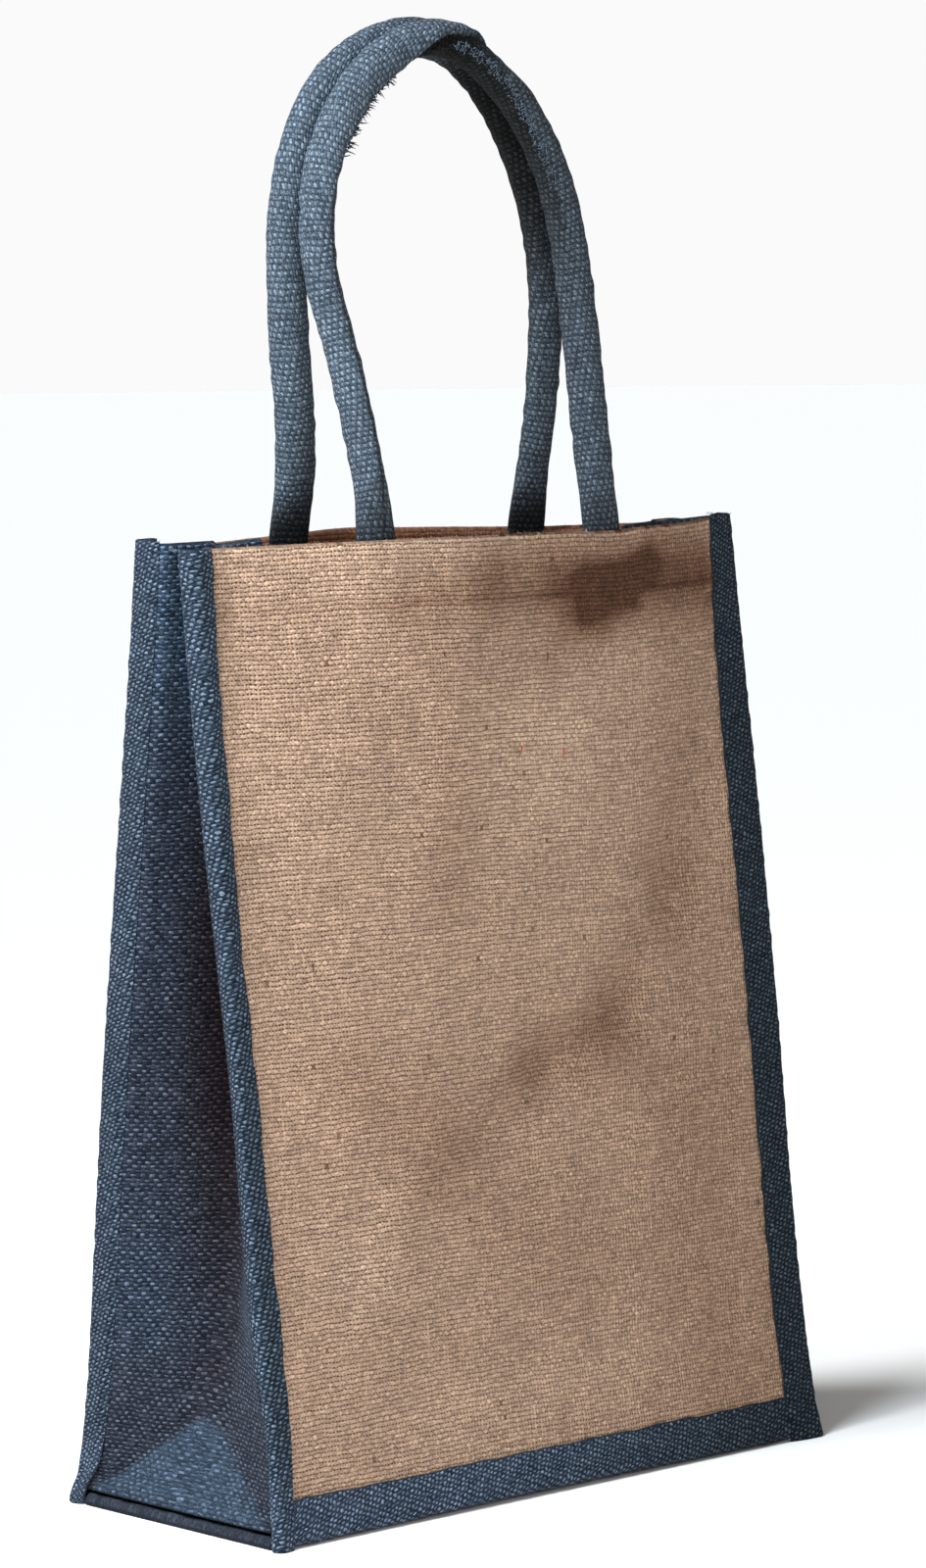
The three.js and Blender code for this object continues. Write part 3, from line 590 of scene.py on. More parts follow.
# base over x and y: flat, its top rising into a half round lip along each short end
def makeBase(name):
    g = baseShape
    half = g["thick"] / 2
    front = -wallDepth(-1, np.zeros(1))[0] + g["under"] + bag["gap"]
    back = wallDepth(1, np.zeros(1))[0] - g["under"] - bag["gap"]
    left, right = -float(sideAt(-1, 0)) + g["clear"], float(sideAt(1, 0)) - g["clear"]
    u = np.linspace(-1, 1, g["across"] + 1)[None]
    x = (left + right) / 2 + (right - left) / 2 * np.sin(u * math.pi / 2 * g["crowding"])
    fromEnd = np.minimum(x - left, right - x)
    lip = np.sqrt(np.clip(1 - (fromEnd * 2 / g["lipWidth"] - 1) ** 2, 0, 1))
    v = np.linspace(0, 1, g["deep"] + 1)[:, None]
    longer = front - g["lipExtra"] * ease(g["lipWidth"] + 0.4, g["lipWidth"] - 0.4, fromEnd)
    y = longer + (back - longer) * v
    x = x + 0 * y
    outer = half + (g["lipTop"] - g["thick"]) * lip * (1 + bumps(g["lumps"], x * g["lumpStretch"], y, 51))
    outer = np.minimum(outer, g["lipTop"] - half) - ease(g["pinchFrom"], 0, fromEnd) * half * g["endPinch"]
    middle = np.stack([x, y, 0 * x + half], -1)
    # on the lip: painted shade where it turns under the bag, and a softer weave
    onLip = ease(g["lipWidth"] + 1, g["lipWidth"] - 1, fromEnd)
    return makeSheet(name, middle, outer, half, {"dark": g["lipDark"] * onLip, "fine": g["lipFine"] * onLip})


basePanel = makeBase("basePanel")
print("base made")

handleShape = {
    "footWidth": 10.5, "footDepth": 2.9, "footLength": 40, "flatTop": 396, "roundTop": 432,
    "sides": 64, "rings": 420, "lineSteps": 4000, "slim": 0.5, "lumps": (0.22, 9), "mapRadius": 8.0,
    "seamRidge": 1.3, "seamEdge": 0.012, "underEdge": 0.015, "lapTaper": (-0.2, -0.02),  # in turns round the tube
    "openWidth": (0.08, 0.14), "openFrom": (0.42, 0.46), "openTo": (0.6, 0.56), "openDepth": 1.2,
    "beadWidth": 0.03, "beadSize": 3.4, "beadsFrom": (0.47, 0.51), "beadsTo": (0.76, 0.7), "girthRun": 50,
    "backFrom": (0.62, 0.7), "mouthShadow": (424, 398),
}
frontRoute = {
    "x": (-61, -60.8, -63, -67.6, -74.6, -76.4, -71.2, -55.6, -32,
          -8, 15.4, 37.6, 54.9, 64.9, 69.2, 69.2, 69, 70),
    "z": (398, 418, 443, 476, 506, 530, 555, 581, 598,
          602.6, 593.5, 574, 548, 517, 482, 446, 420, 398),
    "lean": (25.5, 22.4, 18.2, 12.6, 9.2) + (8.9,) * 9 + (10.6, 15.6, 19.4, 21.8),
}
backRoute = {
    "x": (-64, -63.8, -67.6, -73.8, -77.8, -77.4, -71.6, -56.4, -34,
          -8, 15.4, 37, 53.8, 64.4, 68.4, 70.6, 69.2, 67.8),
    "z": (398, 422, 449, 476, 504, 530, 555.5, 582, 598,
          604, 598, 580, 554, 524, 494, 455, 422, 398),
    "lean": (25.5, 22, 17.2, 12.6, 9.2) + (8.9,) * 9 + (9.4, 14.4, 19, 21.8),
}
handleGirth = {
    "z": (430, 500, 545), "frontLeft": (7.3, 7.5, 8.1), "frontRight": (8.5, 8.4, 8.1),
    "backLeft": (8.5, 8.4, 8.1), "backRight": (7.3, 7.7, 8.1),
}
# the handle's cloth is lapped round its cord: where its upper and under edge run, in turns from the outer side of the
# arch towards the viewer, and the painted shade before, between and after them, by share of the length; below 0 it is
# painted light
frontSeam = {
    "beads": 1.5, "mouthDark": 0.4,
    "share": (0, 0.15, 0.34, 0.4, 0.45, 0.48, 0.5, 0.52, 0.54, 0.57, 0.62, 0.68, 0.75, 0.85, 1),
    "upper": (0.27, 0.27, 0.29, 0.39, 0.43, 0.32, 0.23, 0.17, 0.04, -0.12, -0.2, -0.2, -0.2, -0.2, -0.2),
    "under": (0.31, 0.31, 0.33, 0.46, 0.47, 0.4, 0.33, 0.3, 0.3, 0.32, 0.36, 0.37, 0.38, 0.4, 0.4),
    "before": (0.1, 0.05, -0.3, -0.6, -0.7, -0.7, -0.6, -0.4, 0, 0.2, 0.25, 0.25, 0.2, 0.15, 0.15),
    "between": (0.6, 0.6, 0.55, 0.6, 0.92, 0.95, 0.95, 0.93, 0.8, 0.45, 0.3, 0.28, 0.2, 0.15, 0.15),
    "after": (0.15, 0.1, 0.2, 0.8, 0.93, 0.93, 0.93, 0.92, 0.9, 0.88, 0.86, 0.7, 0.35, 0.2, 0.2),
}
backSeam = {
    "beads": 0.0, "mouthDark": 0.8,
    "share": (0, 0.15, 0.35, 0.46, 0.5, 0.56, 0.66, 0.72, 0.78, 1), "upper": (0.5,) * 10, "under": (0.55,) * 10,
    "before": (0.1, 0.05, -0.3, -0.6, 0.2, 0.84, 0.88, 0.7, 0.25, 0.15),
    "between": (0.3, 0.3, 0.5, 0.8, 0.9, 0.93, 0.9, 0.8, 0.4, 0.3),
    "after": (0.3, 0.3, 0.5, 0.85, 0.93, 0.94, 0.93, 0.8, 0.4, 0.3),
}


# a handle's middle line: up from its feet inside the hem and along its route, as evenly spaced rings
def handleLine(face, route):
    g = handleShape
    feet = []
    for x in (route["x"][0], route["x"][-1]):
        for down in (g["footLength"], g["footLength"] / 2):
            z = bag["height"] - down
            reach = x + np.linspace(-1, 1, 5) * g["footWidth"]
            inHem = bag["cloth"] / 2 + bag["hemExtra"] + bag["gap"] + g["footDepth"]
            feet.append((x, face * (panelDepth(face, reach, np.full(5, z)).min() - inHem), z))
    arch = np.stack([route["x"], face * np.array(route["lean"]), route["z"]], -1)
    knots = np.concatenate([feet[:2], arch, feet[:1:-1]])
    chord = np.concatenate([[0], np.cumsum(np.sqrt(np.linalg.norm(np.diff(knots, axis=0), axis=1)))])
    table = {"at": chord, "x": knots[:, 0], "y": knots[:, 1], "z": knots[:, 2]}
    fine = np.linspace(0, chord[-1], g["lineSteps"])
    dense = np.stack([curveThrough(table, "at", key)(fine) for key in "xyz"], -1)
    run = np.concatenate([[0], np.cumsum(np.linalg.norm(np.diff(dense, axis=0), axis=1))])
    along = np.linspace(0, run[-1], g["rings"] + 1)
    return along, np.stack([np.interp(along, run, dense[:, k]) for k in range(3)], -1)


# tube along a route: every ring a flattened circle, cos and sin of its angle by half width and half depth,
# with the seam's ridge across it; flat at the feet and stuffed round above the mouth
def makeHandle(name, face, route, leftKey, rightKey, seam, seed):
    g = handleShape
    along, centre = handleLine(face, route)
    tangent = unit(steps(centre, 0))
    outward = unit(np.array([0.0, face, 0.0]) - tangent * tangent[:, 1:2] * face)
    across = np.cross(outward, tangent)
    leftGirth, rightGirth = (curveThrough(handleGirth, "z", key)(centre[:, 2]) for key in (leftKey, rightKey))
    girth = np.where(centre[:, 0] < 0, leftGirth, rightGirth) - g["slim"]
    rounded = ease(g["flatTop"], g["roundTop"], centre[:, 2])[:, None]
    halfWidth = g["footWidth"] + (girth[:, None] - g["footWidth"]) * rounded
    halfDepth = g["footDepth"] + (girth[:, None] - g["footDepth"]) * rounded
    angle = (np.arange(g["sides"]) * tau / g["sides"])[None]
    share = (along / along[-1])[:, None]
    upper, under, before, between, after = (
        curveThrough(seam, "share", key)(share) for key in ("upper", "under", "before", "between", "after"))
    # turns from the side of the arch that the seam faces, from -0.3 to 0.7
    turn = (angle / tau - (0.0 if face < 0 else 0.5) + 0.3) % 1 - 0.3
    fromUpper, fromUnder, blur = turn - upper, turn - under, g["seamEdge"]
    past = ease(-blur, blur, fromUpper)
    opened = ease(*g["openWidth"], under - upper) * ease(*g["openFrom"], share) * ease(*g["openTo"], share)
    beyond = ease(-g["underEdge"], g["underEdge"], fromUnder)
    lap = (1 - past) * ease(*g["lapTaper"], fromUpper) - past * (1 - beyond) * opened * g["openDepth"]
    beads = 0.5 + 0.5 * softNoise(along[:, None], turn * g["girthRun"], g["beadSize"], seed + 2)
    beads = beads * bell(fromUnder, g["beadWidth"])
    lap = lap + seam["beads"] * beads * ease(*g["beadsFrom"], share) * ease(*g["beadsTo"], share)
    wave = bumps(g["lumps"], along[:, None] + 0 * angle, np.sin(angle) * g["mapRadius"], seed)
    relief = (g["seamRidge"] * lap + wave) * rounded
    ring = (centre[:, None] + across[:, None] * (np.cos(angle) * (halfWidth + relief))[..., None]
            + outward[:, None] * (np.sin(angle) * (halfDepth + relief))[..., None])
    # painted shade and light round the tube from the seam tables, going back to the first value on the far side
    dark = before + (between - before) * past + (after - between) * beyond
    dark = dark + (before - dark) * ease(*g["backFrom"], turn)
    # painted shade on the handle near and below the mouth
    dark = np.maximum(dark, seam["mouthDark"] * ease(*g["mouthShadow"], centre[:, 2])[:, None])
    # the last column of the map belongs to the first column of points, so the tube carries one doubled column
    ring, dark = (np.concatenate([grid, grid[:, :1]], 1) for grid in (ring, dark))
    around = tau * g["mapRadius"] * np.arange(g["sides"] + 1) / g["sides"]
    uv = np.stack(np.meshgrid(around, along), -1)
    faces = gridFaces(g["rings"] + 1, g["sides"] + 1)
    piece = makePiece(name, ring.reshape(-1, 3), faces, uv.reshape(-1, 2),
                      {"dark": dark.ravel(), "inside": 0 * dark.ravel()})
    closeTube(piece)
    return piece, centre, outward, across, halfWidth[:, 0], upper[:, 0], under[:, 0]


# merges the doubled column and fills both ends of a tube
def closeTube(piece):
    work = bmesh.new()
    work.from_mesh(piece.data)
    bmesh.ops.remove_doubles(work, verts=work.verts, dist=1e-7)
    bmesh.ops.holes_fill(work, edges=[edge for edge in work.edges if edge.is_boundary], sides=0)
    work.to_mesh(piece.data)
    work.free()
    piece.data.shade_smooth()


handleFront = makeHandle("handleFront", -1, frontRoute, "frontLeft", "frontRight", frontSeam, 61)
handleBack = makeHandle("handleBack", 1, backRoute, "backLeft", "backRight", backSeam, 63)
print("handles made")


frayShape = {
    "length": (0.4, 1.6), "bend": 0.5,  # shortest, and how much longer some are
    "hemSpread": 1.2, "sunk": 0.3, "cornerRun": (24, -9), "cornerIn": 1, "cornerUp": 0.4,
    "seamSpread": 0.07, "seamOut": 0.6, "oddHeight": 0.5, "oddBend": 0.3,
}


# short fibres that stand out of an edge: roots in a row, each heading its own way off the edge
def makeFrays(name, roots, heading, length, spread, radius, seed):
    random = np.random.default_rng(seed)
    count = len(roots)
    shortest, longer = frayShape["length"]
    aim = unit(np.asarray(heading) + spread * random.normal(size=(count, 3)))
    reach = length * (shortest + random.random((count, 1)) ** 2 * longer)
    bends = spread * length * random.normal(size=(count, 3)) * frayShape["bend"]
    return makeThreads(name, roots, aim * reach, bends, radius)


# points along the top edge of a panel between two shares of its width
def topEdge(face, sagAt, count, low, high, seed):
    random = np.random.default_rng(seed)
    share = low + (high - low) * random.random(count)
    x = share * (bag["mouthHalfWidth"] - panelShape["inset"])
    z = bag["height"] - sagAt(share * bag["mouthHalfWidth"])
    depth = panelDepth(face, x, z) - bag["hemExtra"] / 2 + frayShape["hemSpread"] * (random.random(count) - 0.5)
    return np.stack([x, face * depth, z - frayShape["sunk"]], -1)


# points along the ends of a corner's strips and gusset
def cornerEdge(side, face, count, seed):
    random = np.random.default_rng(seed)
    length, first = frayShape["cornerRun"]
    run = random.random(count) * length + first
    x = sideAt(side, bag["height"]) - frayShape["cornerIn"] - np.maximum(-run, 0)
    y = wallDepth(face, bag["height"]) - frayShape["cornerIn"] - np.maximum(run, 0)
    sag = (frontSagAt if face < 0 else backSagAt)(side * bag["mouthHalfWidth"])
    return np.stack([side * x, face * y, bag["height"] + frayShape["cornerUp"] - sag + 0 * x], -1)


# points on an edge of a handle's cloth, from one share of its length to another
def seamEdge(handle, edge, low, high, count, seed):
    centre, outward, across, halfWidth, upper, under = handle[1:]
    random = np.random.default_rng(seed)
    at = ((low + (high - low) * random.random(count)) * (len(centre) - 1)).astype(int)
    angle = ((under if edge == "under" else upper)[at] + frayShape["seamSpread"] * (random.random(count) - 0.5)) * tau
    away = across[at] * np.cos(angle)[:, None] + outward[at] * np.sin(angle)[:, None]
    return centre[at] + away * (halfWidth[at] + frayShape["seamOut"])[:, None], away


hemRoots = [topEdge(-1, frontSagAt, 900, -0.98, 0.98, 71), topEdge(1, backSagAt, 700, -0.98, 0.98, 72)]
juteFrays = makeFrays("juteFrays", np.concatenate(hemRoots), (0, 0, 1), 1.1, 0.8, 0.11, 73)
cornerRoots = [cornerEdge(side, face, 60, 74 + side * face) for side in (-1, 1) for face in (-1, 1)]
blueFrays = makeFrays("blueFrays", np.concatenate(cornerRoots), (0, 0, 1), 0.7, 0.8, 0.14, 75)
seamRoots, seamAway = seamEdge(handleFront, "under", 0.51, 0.67, 520, 76)
handleFrays = makeFrays("handleFrays", seamRoots, 0.3 * seamAway, 0.8, 1.0, 0.32, 77)
tuftRoots, tuftAway = seamEdge(handleFront, "upper", 0.355, 0.45, 170, 78)
handleTufts = makeFrays("handleTufts", tuftRoots, tuftAway, 1.9, 0.5, 0.3, 79)


# odd fibres caught in the front cloth: from (x, z) along (alongX, alongZ), lying on the panel
def makeOddFibres(name, table, radius):
    x, z = np.array(table["x"], float), np.array(table["z"], float)
    headings = np.stack([table["alongX"], 0 * x, table["alongZ"]], -1)
    depth = panelDepth(-1, x, z) + bag["cloth"] / 2 + frayShape["oddHeight"]
    bends = headings[:, ::-1] * np.array([1, 0, -1]) * frayShape["oddBend"]  # square to the heading
    return makeThreads(name, np.stack([x, -depth, z], -1), headings, bends, radius)


oddDark = {
    "x": (23, 2, -111, 80, -40), "z": (348, 161, 230, 126, 352),
    "alongX": (0.4, 1.5, 1, 0.3, 1.2), "alongZ": (-6, 1.5, -3, -4, -2),
}
oddRed = {"x": (30, 5), "z": (307, 310), "alongX": (0.8, -0.6), "alongZ": (-5, -4)}
darkFibres = makeOddFibres("darkFibres", oddDark, 0.42)
redFibres = makeOddFibres("redFibres", oddRed, 0.4)
print("frays made")


# colours are given as the photograph shows them, 0 to 255, and turned to linear light here
def linear(red, green, blue):
    c = np.array([red, green, blue]) / 255
    return tuple(np.where(c <= 0.04045, c / 12.92, ((c + 0.055) / 1.055) ** 2.4)) + (1.0,)


# a value inside a material: sums, differences, products and quotients of such values make its math nodes
class Value:
    def __init__(self, socket):
        self.socket = socket

    def __add__(self, other):
        return calc("ADD", self, other)

    def __sub__(self, other):
        return calc("SUBTRACT", self, other)

    def __rsub__(self, other):
        return calc("SUBTRACT", other, self)

    def __mul__(self, other):
        return calc("MULTIPLY", self, other)

    def __truediv__(self, other):
        return calc("DIVIDE", self, other)

    __radd__, __rmul__ = __add__, __mul__


# links a value into an input, or sets the input to a number or colour
def plug(socket, value):
    if isinstance(value, Value):
        socket.id_data.links.new(value.socket, socket)
    else:
        socket.default_value = value


# adds a node with its settings and inputs, and gives one of its outputs
def addNode(tree, kind, inputs=None, output=0, **settings):
    node = tree.nodes.new("ShaderNode" + kind)
    for key, setting in settings.items():
        setattr(node, key, setting)
    for key, value in (inputs or {}).items():
        plug(node.inputs[key], value)
    return Value(node.outputs[output])


# a math node over values and numbers, in the tree that the first value belongs to
def calc(operation, *values):
    tree = next(value for value in values if isinstance(value, Value)).socket.id_data
    return addNode(tree, "Math", dict(enumerate(values)), operation=operation)


# a new material's shader takes its inputs from make(tree)
def makeMaterial(name, make):
    material = bpy.data.materials.new(name)
    material.use_nodes = True
    for key, value in make(material.node_tree).items():
        plug(material.node_tree.nodes["Principled BSDF"].inputs[key], value)
    return material


weaveShape = {
    "insideShift": 0.0411, "wanderScale": 0.45, "blur": 0.05, "slubSteps": (3.7, 3.3), "streakStep": 1.7,
    "holeAt": (0.15, 0.47), "grooveAt": (0.22, 0.5), "columnGroove": 1.5, "grooveComes": (0.34, 0.6),
    "grainAt": (0.3, 0.7), "strands": (1500.0, 900.0), "strandAt": (0.55, 0.74), "blueShade": 1.1, "evenTone": 0.4,
}


# woven cloth on the piece's own flat map: columns of warp and rows of weft, each yarn round across its width
# and rising where it crosses over: height = round * (1 + lift * cos(pi * crossing)) / (1 + lift)
def weaveMaterial(name, look):
    return makeMaterial(name, lambda tree: weave(tree, look))


def weave(tree, look):
    w = weaveShape
    paint = {key: linear(*look[key]) for key in look if isinstance(look[key], tuple) and len(look[key]) == 3}

    def vector(x, y, z=0.0):
        return addNode(tree, "CombineXYZ", {0: x, 1: y, 2: z})

    def parts(value):
        split = addNode(tree, "SeparateXYZ", {0: value}).socket.node
        return [Value(output) for output in split.outputs]

    def noise(place, scale, detail=1.0, output=0):
        return addNode(tree, "TexNoise", {"Vector": place, "Scale": scale, "Detail": detail}, output)

    def mix(share, first, second):
        return addNode(tree, "Mix", {0: share, 6: first, 7: second}, 2, data_type="RGBA")

    def smooth(low, high, value):
        span = {"Value": value, "From Min": low, "From Max": high}
        return addNode(tree, "MapRange", span, interpolation_type="SMOOTHSTEP")

    def around(value, spread):  # 0..1 noise turned into a factor near 1
        return value * (2 * spread) + (1 - spread)

    def blend(share, first, second):
        return first + share * (second - first)

    flat = addNode(tree, "UVMap", uv_map="flat")
    u, v = parts(flat)[:2]
    # dark is the painted shade each piece carries, painted light where below 0
    inside, dark, fine = (
        addNode(tree, "Attribute", {}, "Fac", attribute_name=key) for key in ("inside", "dark", "fine"))
    u = inside * w["insideShift"] + u

    # yarns wander a little off their straight lines, and lean as the cloth is pulled
    slow = parts(noise(flat, look["driftScale"], 1.0, "Color"))
    quick = parts(noise(flat, w["wanderScale"] / look["pitchV"], 0.0, "Color"))
    column = (u * u * look["closer"] + u) * (1 / look["pitchU"]) + v * (look["skew"] / look["pitchU"])
    row = v * (1 / look["pitchV"]) + u * (look["rowSkew"] / look["pitchV"])
    column = column + (slow[0] - 0.5) * look["drift"] + (quick[0] - 0.5) * look["wander"]
    row = row + (slow[1] - 0.5) * look["drift"] + (quick[1] - 0.5) * look["wander"]
    columnId, rowId = calc("FLOOR", column), calc("FLOOR", row)
    offColumn, offRow = calc("FRACT", column) - 0.5, calc("FRACT", row) - 0.5
    toss = parts(addNode(tree, "TexWhiteNoise", {"Vector": vector(columnId, rowId, 1.0)}, "Color"))

    # slubs: each yarn thickens and thins along its length
    def yarnWidth(x, y, width):
        return noise(vector(x, y), 1.0) * look["slub"] + (width - look["slub"] / 2)

    stepU, stepV = w["slubSteps"]
    widthU = yarnWidth(columnId * stepU, v * look["slubRun"], look["warpWidth"]) + fine * look["fineWidth"]
    widthV = yarnWidth(u * look["slubRun"], rowId * stepV, look["weftWidth"]) * around(toss[1], look["floatWidth"])

    def roundYarn(off, width):
        share = off / width
        return calc("SQRT", calc("MAXIMUM", 1.0 - share * share, 0.0))

    lift = look["lift"] / (1 + look["lift"])
    warpLift = calc("COSINE", (row - 0.5 + columnId) * math.pi) * lift + (1 - lift)
    weftLift = calc("COSINE", (column - 0.5 + rowId) * math.pi) * -lift + (1 - lift)
    warpHeight = roundYarn(offColumn, widthU) * warpLift
    weftHeight = roundYarn(offRow, widthV) * weftLift * (fine * look["fineRise"] + look["weftRise"])
    height = calc("MAXIMUM", warpHeight, weftHeight)
    difference = weftHeight - warpHeight
    onWeft = smooth(-w["blur"], w["blur"], difference)
    weftOnly = calc("GREATER_THAN", difference, 0.0)

    # fibres run along each yarn with its twist; streaks are longer and slower
    along, cross, run, step = look["fibreAlong"], look["fibreAcross"], look["streakRun"], w["streakStep"]
    twistV, twistU = u * look["twist"] + v, v * -look["twist"] + u
    fibreX, fibreY = blend(weftOnly, twistU * cross, u * along), blend(weftOnly, v * along, twistV * cross)
    fibre = noise(vector(fibreX, fibreY, weftOnly * 9.0), 1.0, 3.0)
    streakX, streakY = blend(weftOnly, columnId * step, u * run), blend(weftOnly, v * run, rowId * step)
    streak = noise(vector(streakX, streakY, 5.0), 1.0, 1.0)
    cloud = noise(addNode(tree, "TexCoord", {}, "Object"), look["cloudScale"], 3.0)

    # painted shade in the hollows between the rows: deepest where two columns meet, and comes and goes
    hole = smooth(*w["holeAt"], calc("ABSOLUTE", offColumn))
    rowGroove = smooth(*w["grooveAt"], calc("ABSOLUTE", offRow)) * (hole * look["hole"] + look["groove"])
    groove = blend(fine * look["fineRib"], rowGroove, hole * (look["groove"] * w["columnGroove"]))
    groove = groove * smooth(*w["grooveComes"], noise(flat, look["grooveRun"], 2.0))
    grain = smooth(*w["grainAt"], noise(flat, look["grainScale"], 2.0))
    floatTone = calc("POWER", toss[0], look["floatPower"]) - w["evenTone"]
    tone = floatTone * blend(onWeft, look["warpTone"], look["weftTone"]) + 1.0
    tone = tone * around(grain, look["grain"]) * around(fibre, look["fibreTone"])
    tone = tone * around(streak, look["streakTone"]) * around(cloud, look["cloudTone"])

    # painted highlight and shade by yarn height: the weft floats, which lie on top, take a lighter colour than the
    # warp over the yarns' own colour, and the low places between yarns go to the dark gap colour as painted shade
    colour = mix(onWeft, paint["warp"], paint["weft"])
    colour = mix(toss[2] * look["otherShare"], colour, paint["other"])
    colour = mix(smooth(*look["gapHeight"], height), paint["gap"], colour)
    colour = mix(fine * look["fineSoft"], colour, paint["softColour"])
    colour = mix(calc("GREATER_THAN", toss[2], 1 - look["flecks"]), colour, paint["fleck"])
    strandU, strandV = w["strands"]
    strand = smooth(*w["strandAt"], noise(vector(twistU * strandU, twistV * strandV, 3.0), 1.0, 2.0))
    colour = mix(strand * look["lint"], colour, paint["lintColour"])
    # the inside skin is tinted towards a warm brown
    colour = mix(inside * look["insideTint"], colour, paint["insideTintColour"])
    # shade is warmer than light: red fades slower and blue a little faster
    shade = (1.0 - dark) * (1.0 - groove)
    red, blue = calc("POWER", shade, look["warmShade"]), calc("POWER", shade, w["blueShade"])
    hue = vector(tone * red, tone * shade, tone * blue)
    relief = {"Strength": 1.0, "Distance": look["relief"], "Height": fibre * look["fibreRelief"] + height}
    return {
        "Base Color": addNode(tree, "VectorMath", {0: colour, 1: hue}, operation="MULTIPLY"),
        "Normal": addNode(tree, "Bump", relief), "Roughness": look["roughness"],
        "Specular IOR Level": look["gloss"], "Sheen Weight": look["sheen"], "Sheen Roughness": 0.5,
    }


juteLook = {
    "pitchU": 0.0018, "pitchV": 0.00195, "closer": 0.35, "skew": 0.0, "rowSkew": 0.0,  # m between yarns
    "drift": 1.6, "driftScale": 14.0, "wander": 0.48, "slub": 0.22, "slubRun": 90.0,
    "warpWidth": 0.36, "weftWidth": 0.43, "floatWidth": 0.14, "lift": 0.25, "weftRise": 1.15,
    "fineWidth": 0.05, "fineRise": -0.2, "fineRib": 0.75, "fineSoft": 0.0, "softColour": (120, 100, 80),
    "warp": (142, 117, 99), "weft": (161, 135, 119), "other": (165, 140, 113), "otherShare": 0.5,
    "gap": (62, 40, 27), "gapHeight": (0.12, 0.72), "groove": 0.33, "hole": 0.42, "grooveRun": 420.0,
    "warpTone": 0.4, "weftTone": 0.36, "floatPower": 1.0, "warmShade": 0.8,
    "fibreAlong": 520.0, "fibreAcross": 3000.0, "twist": 0.35, "fibreTone": 0.6, "grain": 0.36, "grainScale": 1400.0,
    "streakRun": 75.0, "streakTone": 0.36, "cloudScale": 16.0, "cloudTone": 0.14,
    "fleck": (104, 76, 56), "flecks": 0.0006, "lint": 0.3, "lintColour": (206, 184, 160),
    "relief": 0.0006, "fibreRelief": 0.35, "insideTint": 0.6, "insideTintColour": (150, 84, 48),
    "roughness": 0.92, "gloss": 0.05, "sheen": 0.015,
}
blueLook = dict(
    juteLook, pitchU=0.0019, pitchV=0.0019, closer=0.0, wander=0.7, slub=0.2,
    warpWidth=0.7, weftWidth=0.32, floatWidth=0.3, lift=0.6, weftRise=0.98,
    fineWidth=0.0, fineRise=0.0, fineRib=0.0, fineSoft=0.75, softColour=(46, 58, 71),
    warp=(24, 34, 47), weft=(82, 92, 106), other=(54, 63, 77), gap=(9, 13, 19), gapHeight=(0.1, 0.8),
    groove=0.1, hole=0.2, warpTone=0.6, weftTone=0.75, floatPower=1.2, warmShade=0.6, fibreTone=0.8, grain=0.45,
    streakTone=0.3, cloudTone=0.16, flecks=0.0, lintColour=(76, 90, 106), relief=0.0007, insideTint=0.0, sheen=0.02)
stripLook = dict(
    blueLook, pitchU=0.0016, pitchV=0.0017, skew=0.5, rowSkew=-0.45, wander=1.0,
    weftWidth=0.4, weft=(89, 102, 116), otherShare=0.3, gap=(4, 12, 19), warmShade=1.05)
handleLook = dict(
    blueLook, pitchU=0.00135, pitchV=0.00245, skew=0.3, warpWidth=0.6, weftWidth=0.4,
    warp=(50, 60, 70), weft=(92, 102, 112), other=(78, 88, 98), otherShare=0.3, gap=(20, 27, 35),
    groove=0.0, hole=0.15, warpTone=0.5, weftTone=0.6, warmShade=0.9, twist=0.7,
    softColour=(60, 70, 80), lint=0.25, lintColour=(96, 107, 118))
threadLook = {"scale": 900.0, "roughness": 0.8, "gloss": 0.2}


# single fibres: between two colours, with slow changes along them
def threadMaterial(name, colour, other):
    def fibre(tree):
        place = {"Vector": addNode(tree, "TexCoord", {}, "Object"), "Scale": threadLook["scale"]}
        ends = {0: addNode(tree, "TexNoise", place), 6: linear(*colour), 7: linear(*other)}
        return {"Base Color": addNode(tree, "Mix", ends, 2, data_type="RGBA"),
                "Roughness": threadLook["roughness"], "Specular IOR Level": threadLook["gloss"]}

    return makeMaterial(name, fibre)


juteThread = threadMaterial("juteThread", (120, 96, 74), (210, 188, 164))
blueThread = threadMaterial("blueThread", (22, 32, 44), (118, 134, 150))
seamThread = threadMaterial("seamThread", (20, 29, 38), (98, 113, 127))
darkThread = threadMaterial("darkBlueThread", (10, 15, 24), (44, 54, 68))
oddDarkThread = threadMaterial("oddDarkThread", (40, 26, 18), (84, 60, 42))
oddRedThread = threadMaterial("oddRedThread", (120, 34, 26), (176, 74, 58))
materials = {
    "jute": weaveMaterial("naturalJute", juteLook),
    "blue_cloth": weaveMaterial("blueJute", blueLook),
    "strip_cloth": weaveMaterial("blueStrip", stripLook),
    "handle_cloth": weaveMaterial("blueHandle", handleLook),
}
print("materials made")


# gives a piece its cloth and the body it rides on, and hides the node it stands for
def dress(piece, node, slot, material=None):
    piece.data.materials.append(material or materials[slot])
    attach(piece, "root")
    if node:
        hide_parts(node)


dress(frontPanel, "front_panel", "jute")
dress(backPanel, "back_panel", "jute")
dress(gussetLeft, "gusset_left", "blue_cloth")
dress(gussetRight, "gusset_right", "blue_cloth")
dress(basePanel, "base_panel", "blue_cloth")
for node, piece in strips.items():
    dress(piece, node, "strip_cloth")
for node, handle in (("handle_front", handleFront), ("handle_back", handleBack)):
    dress(handle[0], node, "handle_cloth")
dress(juteFrays, None, "jute", material=juteThread)
dress(darkFibres, None, "jute", material=oddDarkThread)
dress(redFibres, None, "jute", material=oddRedThread)
dress(blueFrays, None, "blue_cloth", material=blueThread)
dress(handleFrays, None, "handle_cloth", material=seamThread)
dress(handleTufts, None, "handle_cloth", material=darkThread)
print("pieces dressed")

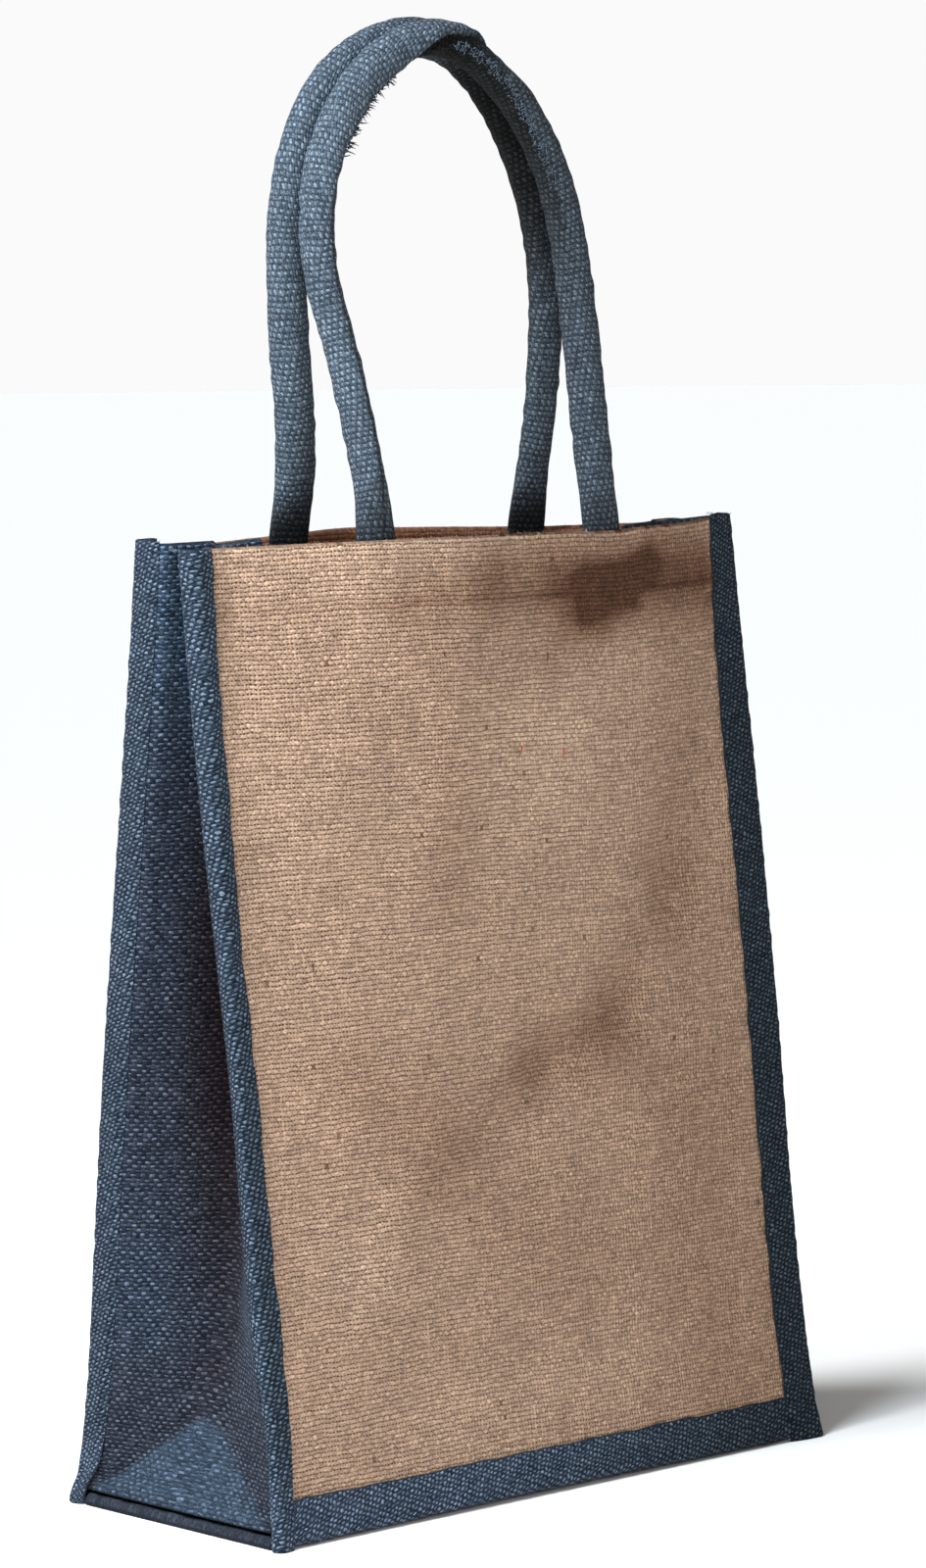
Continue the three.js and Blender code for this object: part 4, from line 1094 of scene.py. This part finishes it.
stage = {
    "floor": (251, 250, 248), "floorRoughness": 0.9, "floorLevel": -0.3,
    "floorRings": (0.01, 0.5, 2, 6, 14), "floorSides": 64,  # radii in m
    "sky": (250, 250, 250), "skyHigh": 0.18, "skyFrom": 0.05, "skyTo": 0.45,
    "sun": {"kind": "SUN", "at": (-1.0, 0.3, 1.4), "size": 0.42, "power": 3.4, "tint": (246, 251, 255)},
    "key": {"kind": "AREA", "at": (-0.56, -0.16, 0.84), "size": 0.35, "power": 10.0, "tint": (238, 247, 255)},
    "front": {"kind": "AREA", "at": (-0.41, -0.70, 0.32), "size": 0.4, "power": 1.6, "tint": (255, 246, 236)},
    "aim": (-0.05, -0.05, 0.25),
}


# a lamp at its place, turned towards the bag; the sun shines towards the middle of the floor
def makeLight(name, light):
    data = bpy.data.lights.new(name, light["kind"])
    if light["kind"] == "SUN":
        data.angle = light["size"]
    else:
        data.shape, data.size = "DISK", light["size"]
    data.energy = light["power"]
    data.color = linear(*light["tint"])[:3]
    lamp = bpy.data.objects.new(name, data)
    bpy.context.scene.collection.objects.link(lamp)
    lamp.visible_camera = False
    place = Vector(light["at"])
    aim = Vector(stage["aim"]) if light["kind"] == "AREA" else Vector()
    lamp.matrix_world = Matrix.Translation(place) @ (aim - place).to_track_quat("-Z", "Y").to_matrix().to_4x4()


# floor: rings of radius r at (r cos a, r sin a), just under the bag
def makeFloor():
    angle = np.arange(stage["floorSides"]) * tau / stage["floorSides"]
    radii = np.array(stage["floorRings"])[:, None] / mm
    x, y = radii * np.cos(angle), radii * np.sin(angle)
    points = np.stack([x, y, 0 * x + stage["floorLevel"]], -1).reshape(-1, 3)
    faces = gridFaces(len(radii), len(angle), wrap=True)[:, ::-1]
    floor = makePiece("floor", points, faces, points[:, :2])
    look = {"Base Color": linear(*stage["floor"]), "Roughness": stage["floorRoughness"]}
    floor.data.materials.append(makeMaterial("paleFloor", lambda tree: look))


# pale near the floor's far edge and dimmer overhead, so the light comes from the lamps
def makeSky():
    world = bpy.data.worlds.new("softStudio")
    world.use_nodes = True
    tree = world.node_tree
    up = addNode(tree, "SeparateXYZ", {0: addNode(tree, "TexCoord", {}, "Generated")}, 2)
    span = {"Value": up, "From Min": stage["skyFrom"], "From Max": stage["skyTo"]}
    span.update({"To Min": 1.0, "To Max": stage["skyHigh"]})
    sky = tree.nodes["Background"].inputs
    plug(sky["Color"], linear(*stage["sky"]))
    plug(sky["Strength"], addNode(tree, "MapRange", span, interpolation_type="SMOOTHSTEP"))
    bpy.context.scene.world = world


makeFloor()
makeSky()
for key in ("sun", "key", "front"):
    makeLight(key + "Light", stage[key])
bpy.context.scene.view_settings.view_transform = "Standard"
print("stage made")
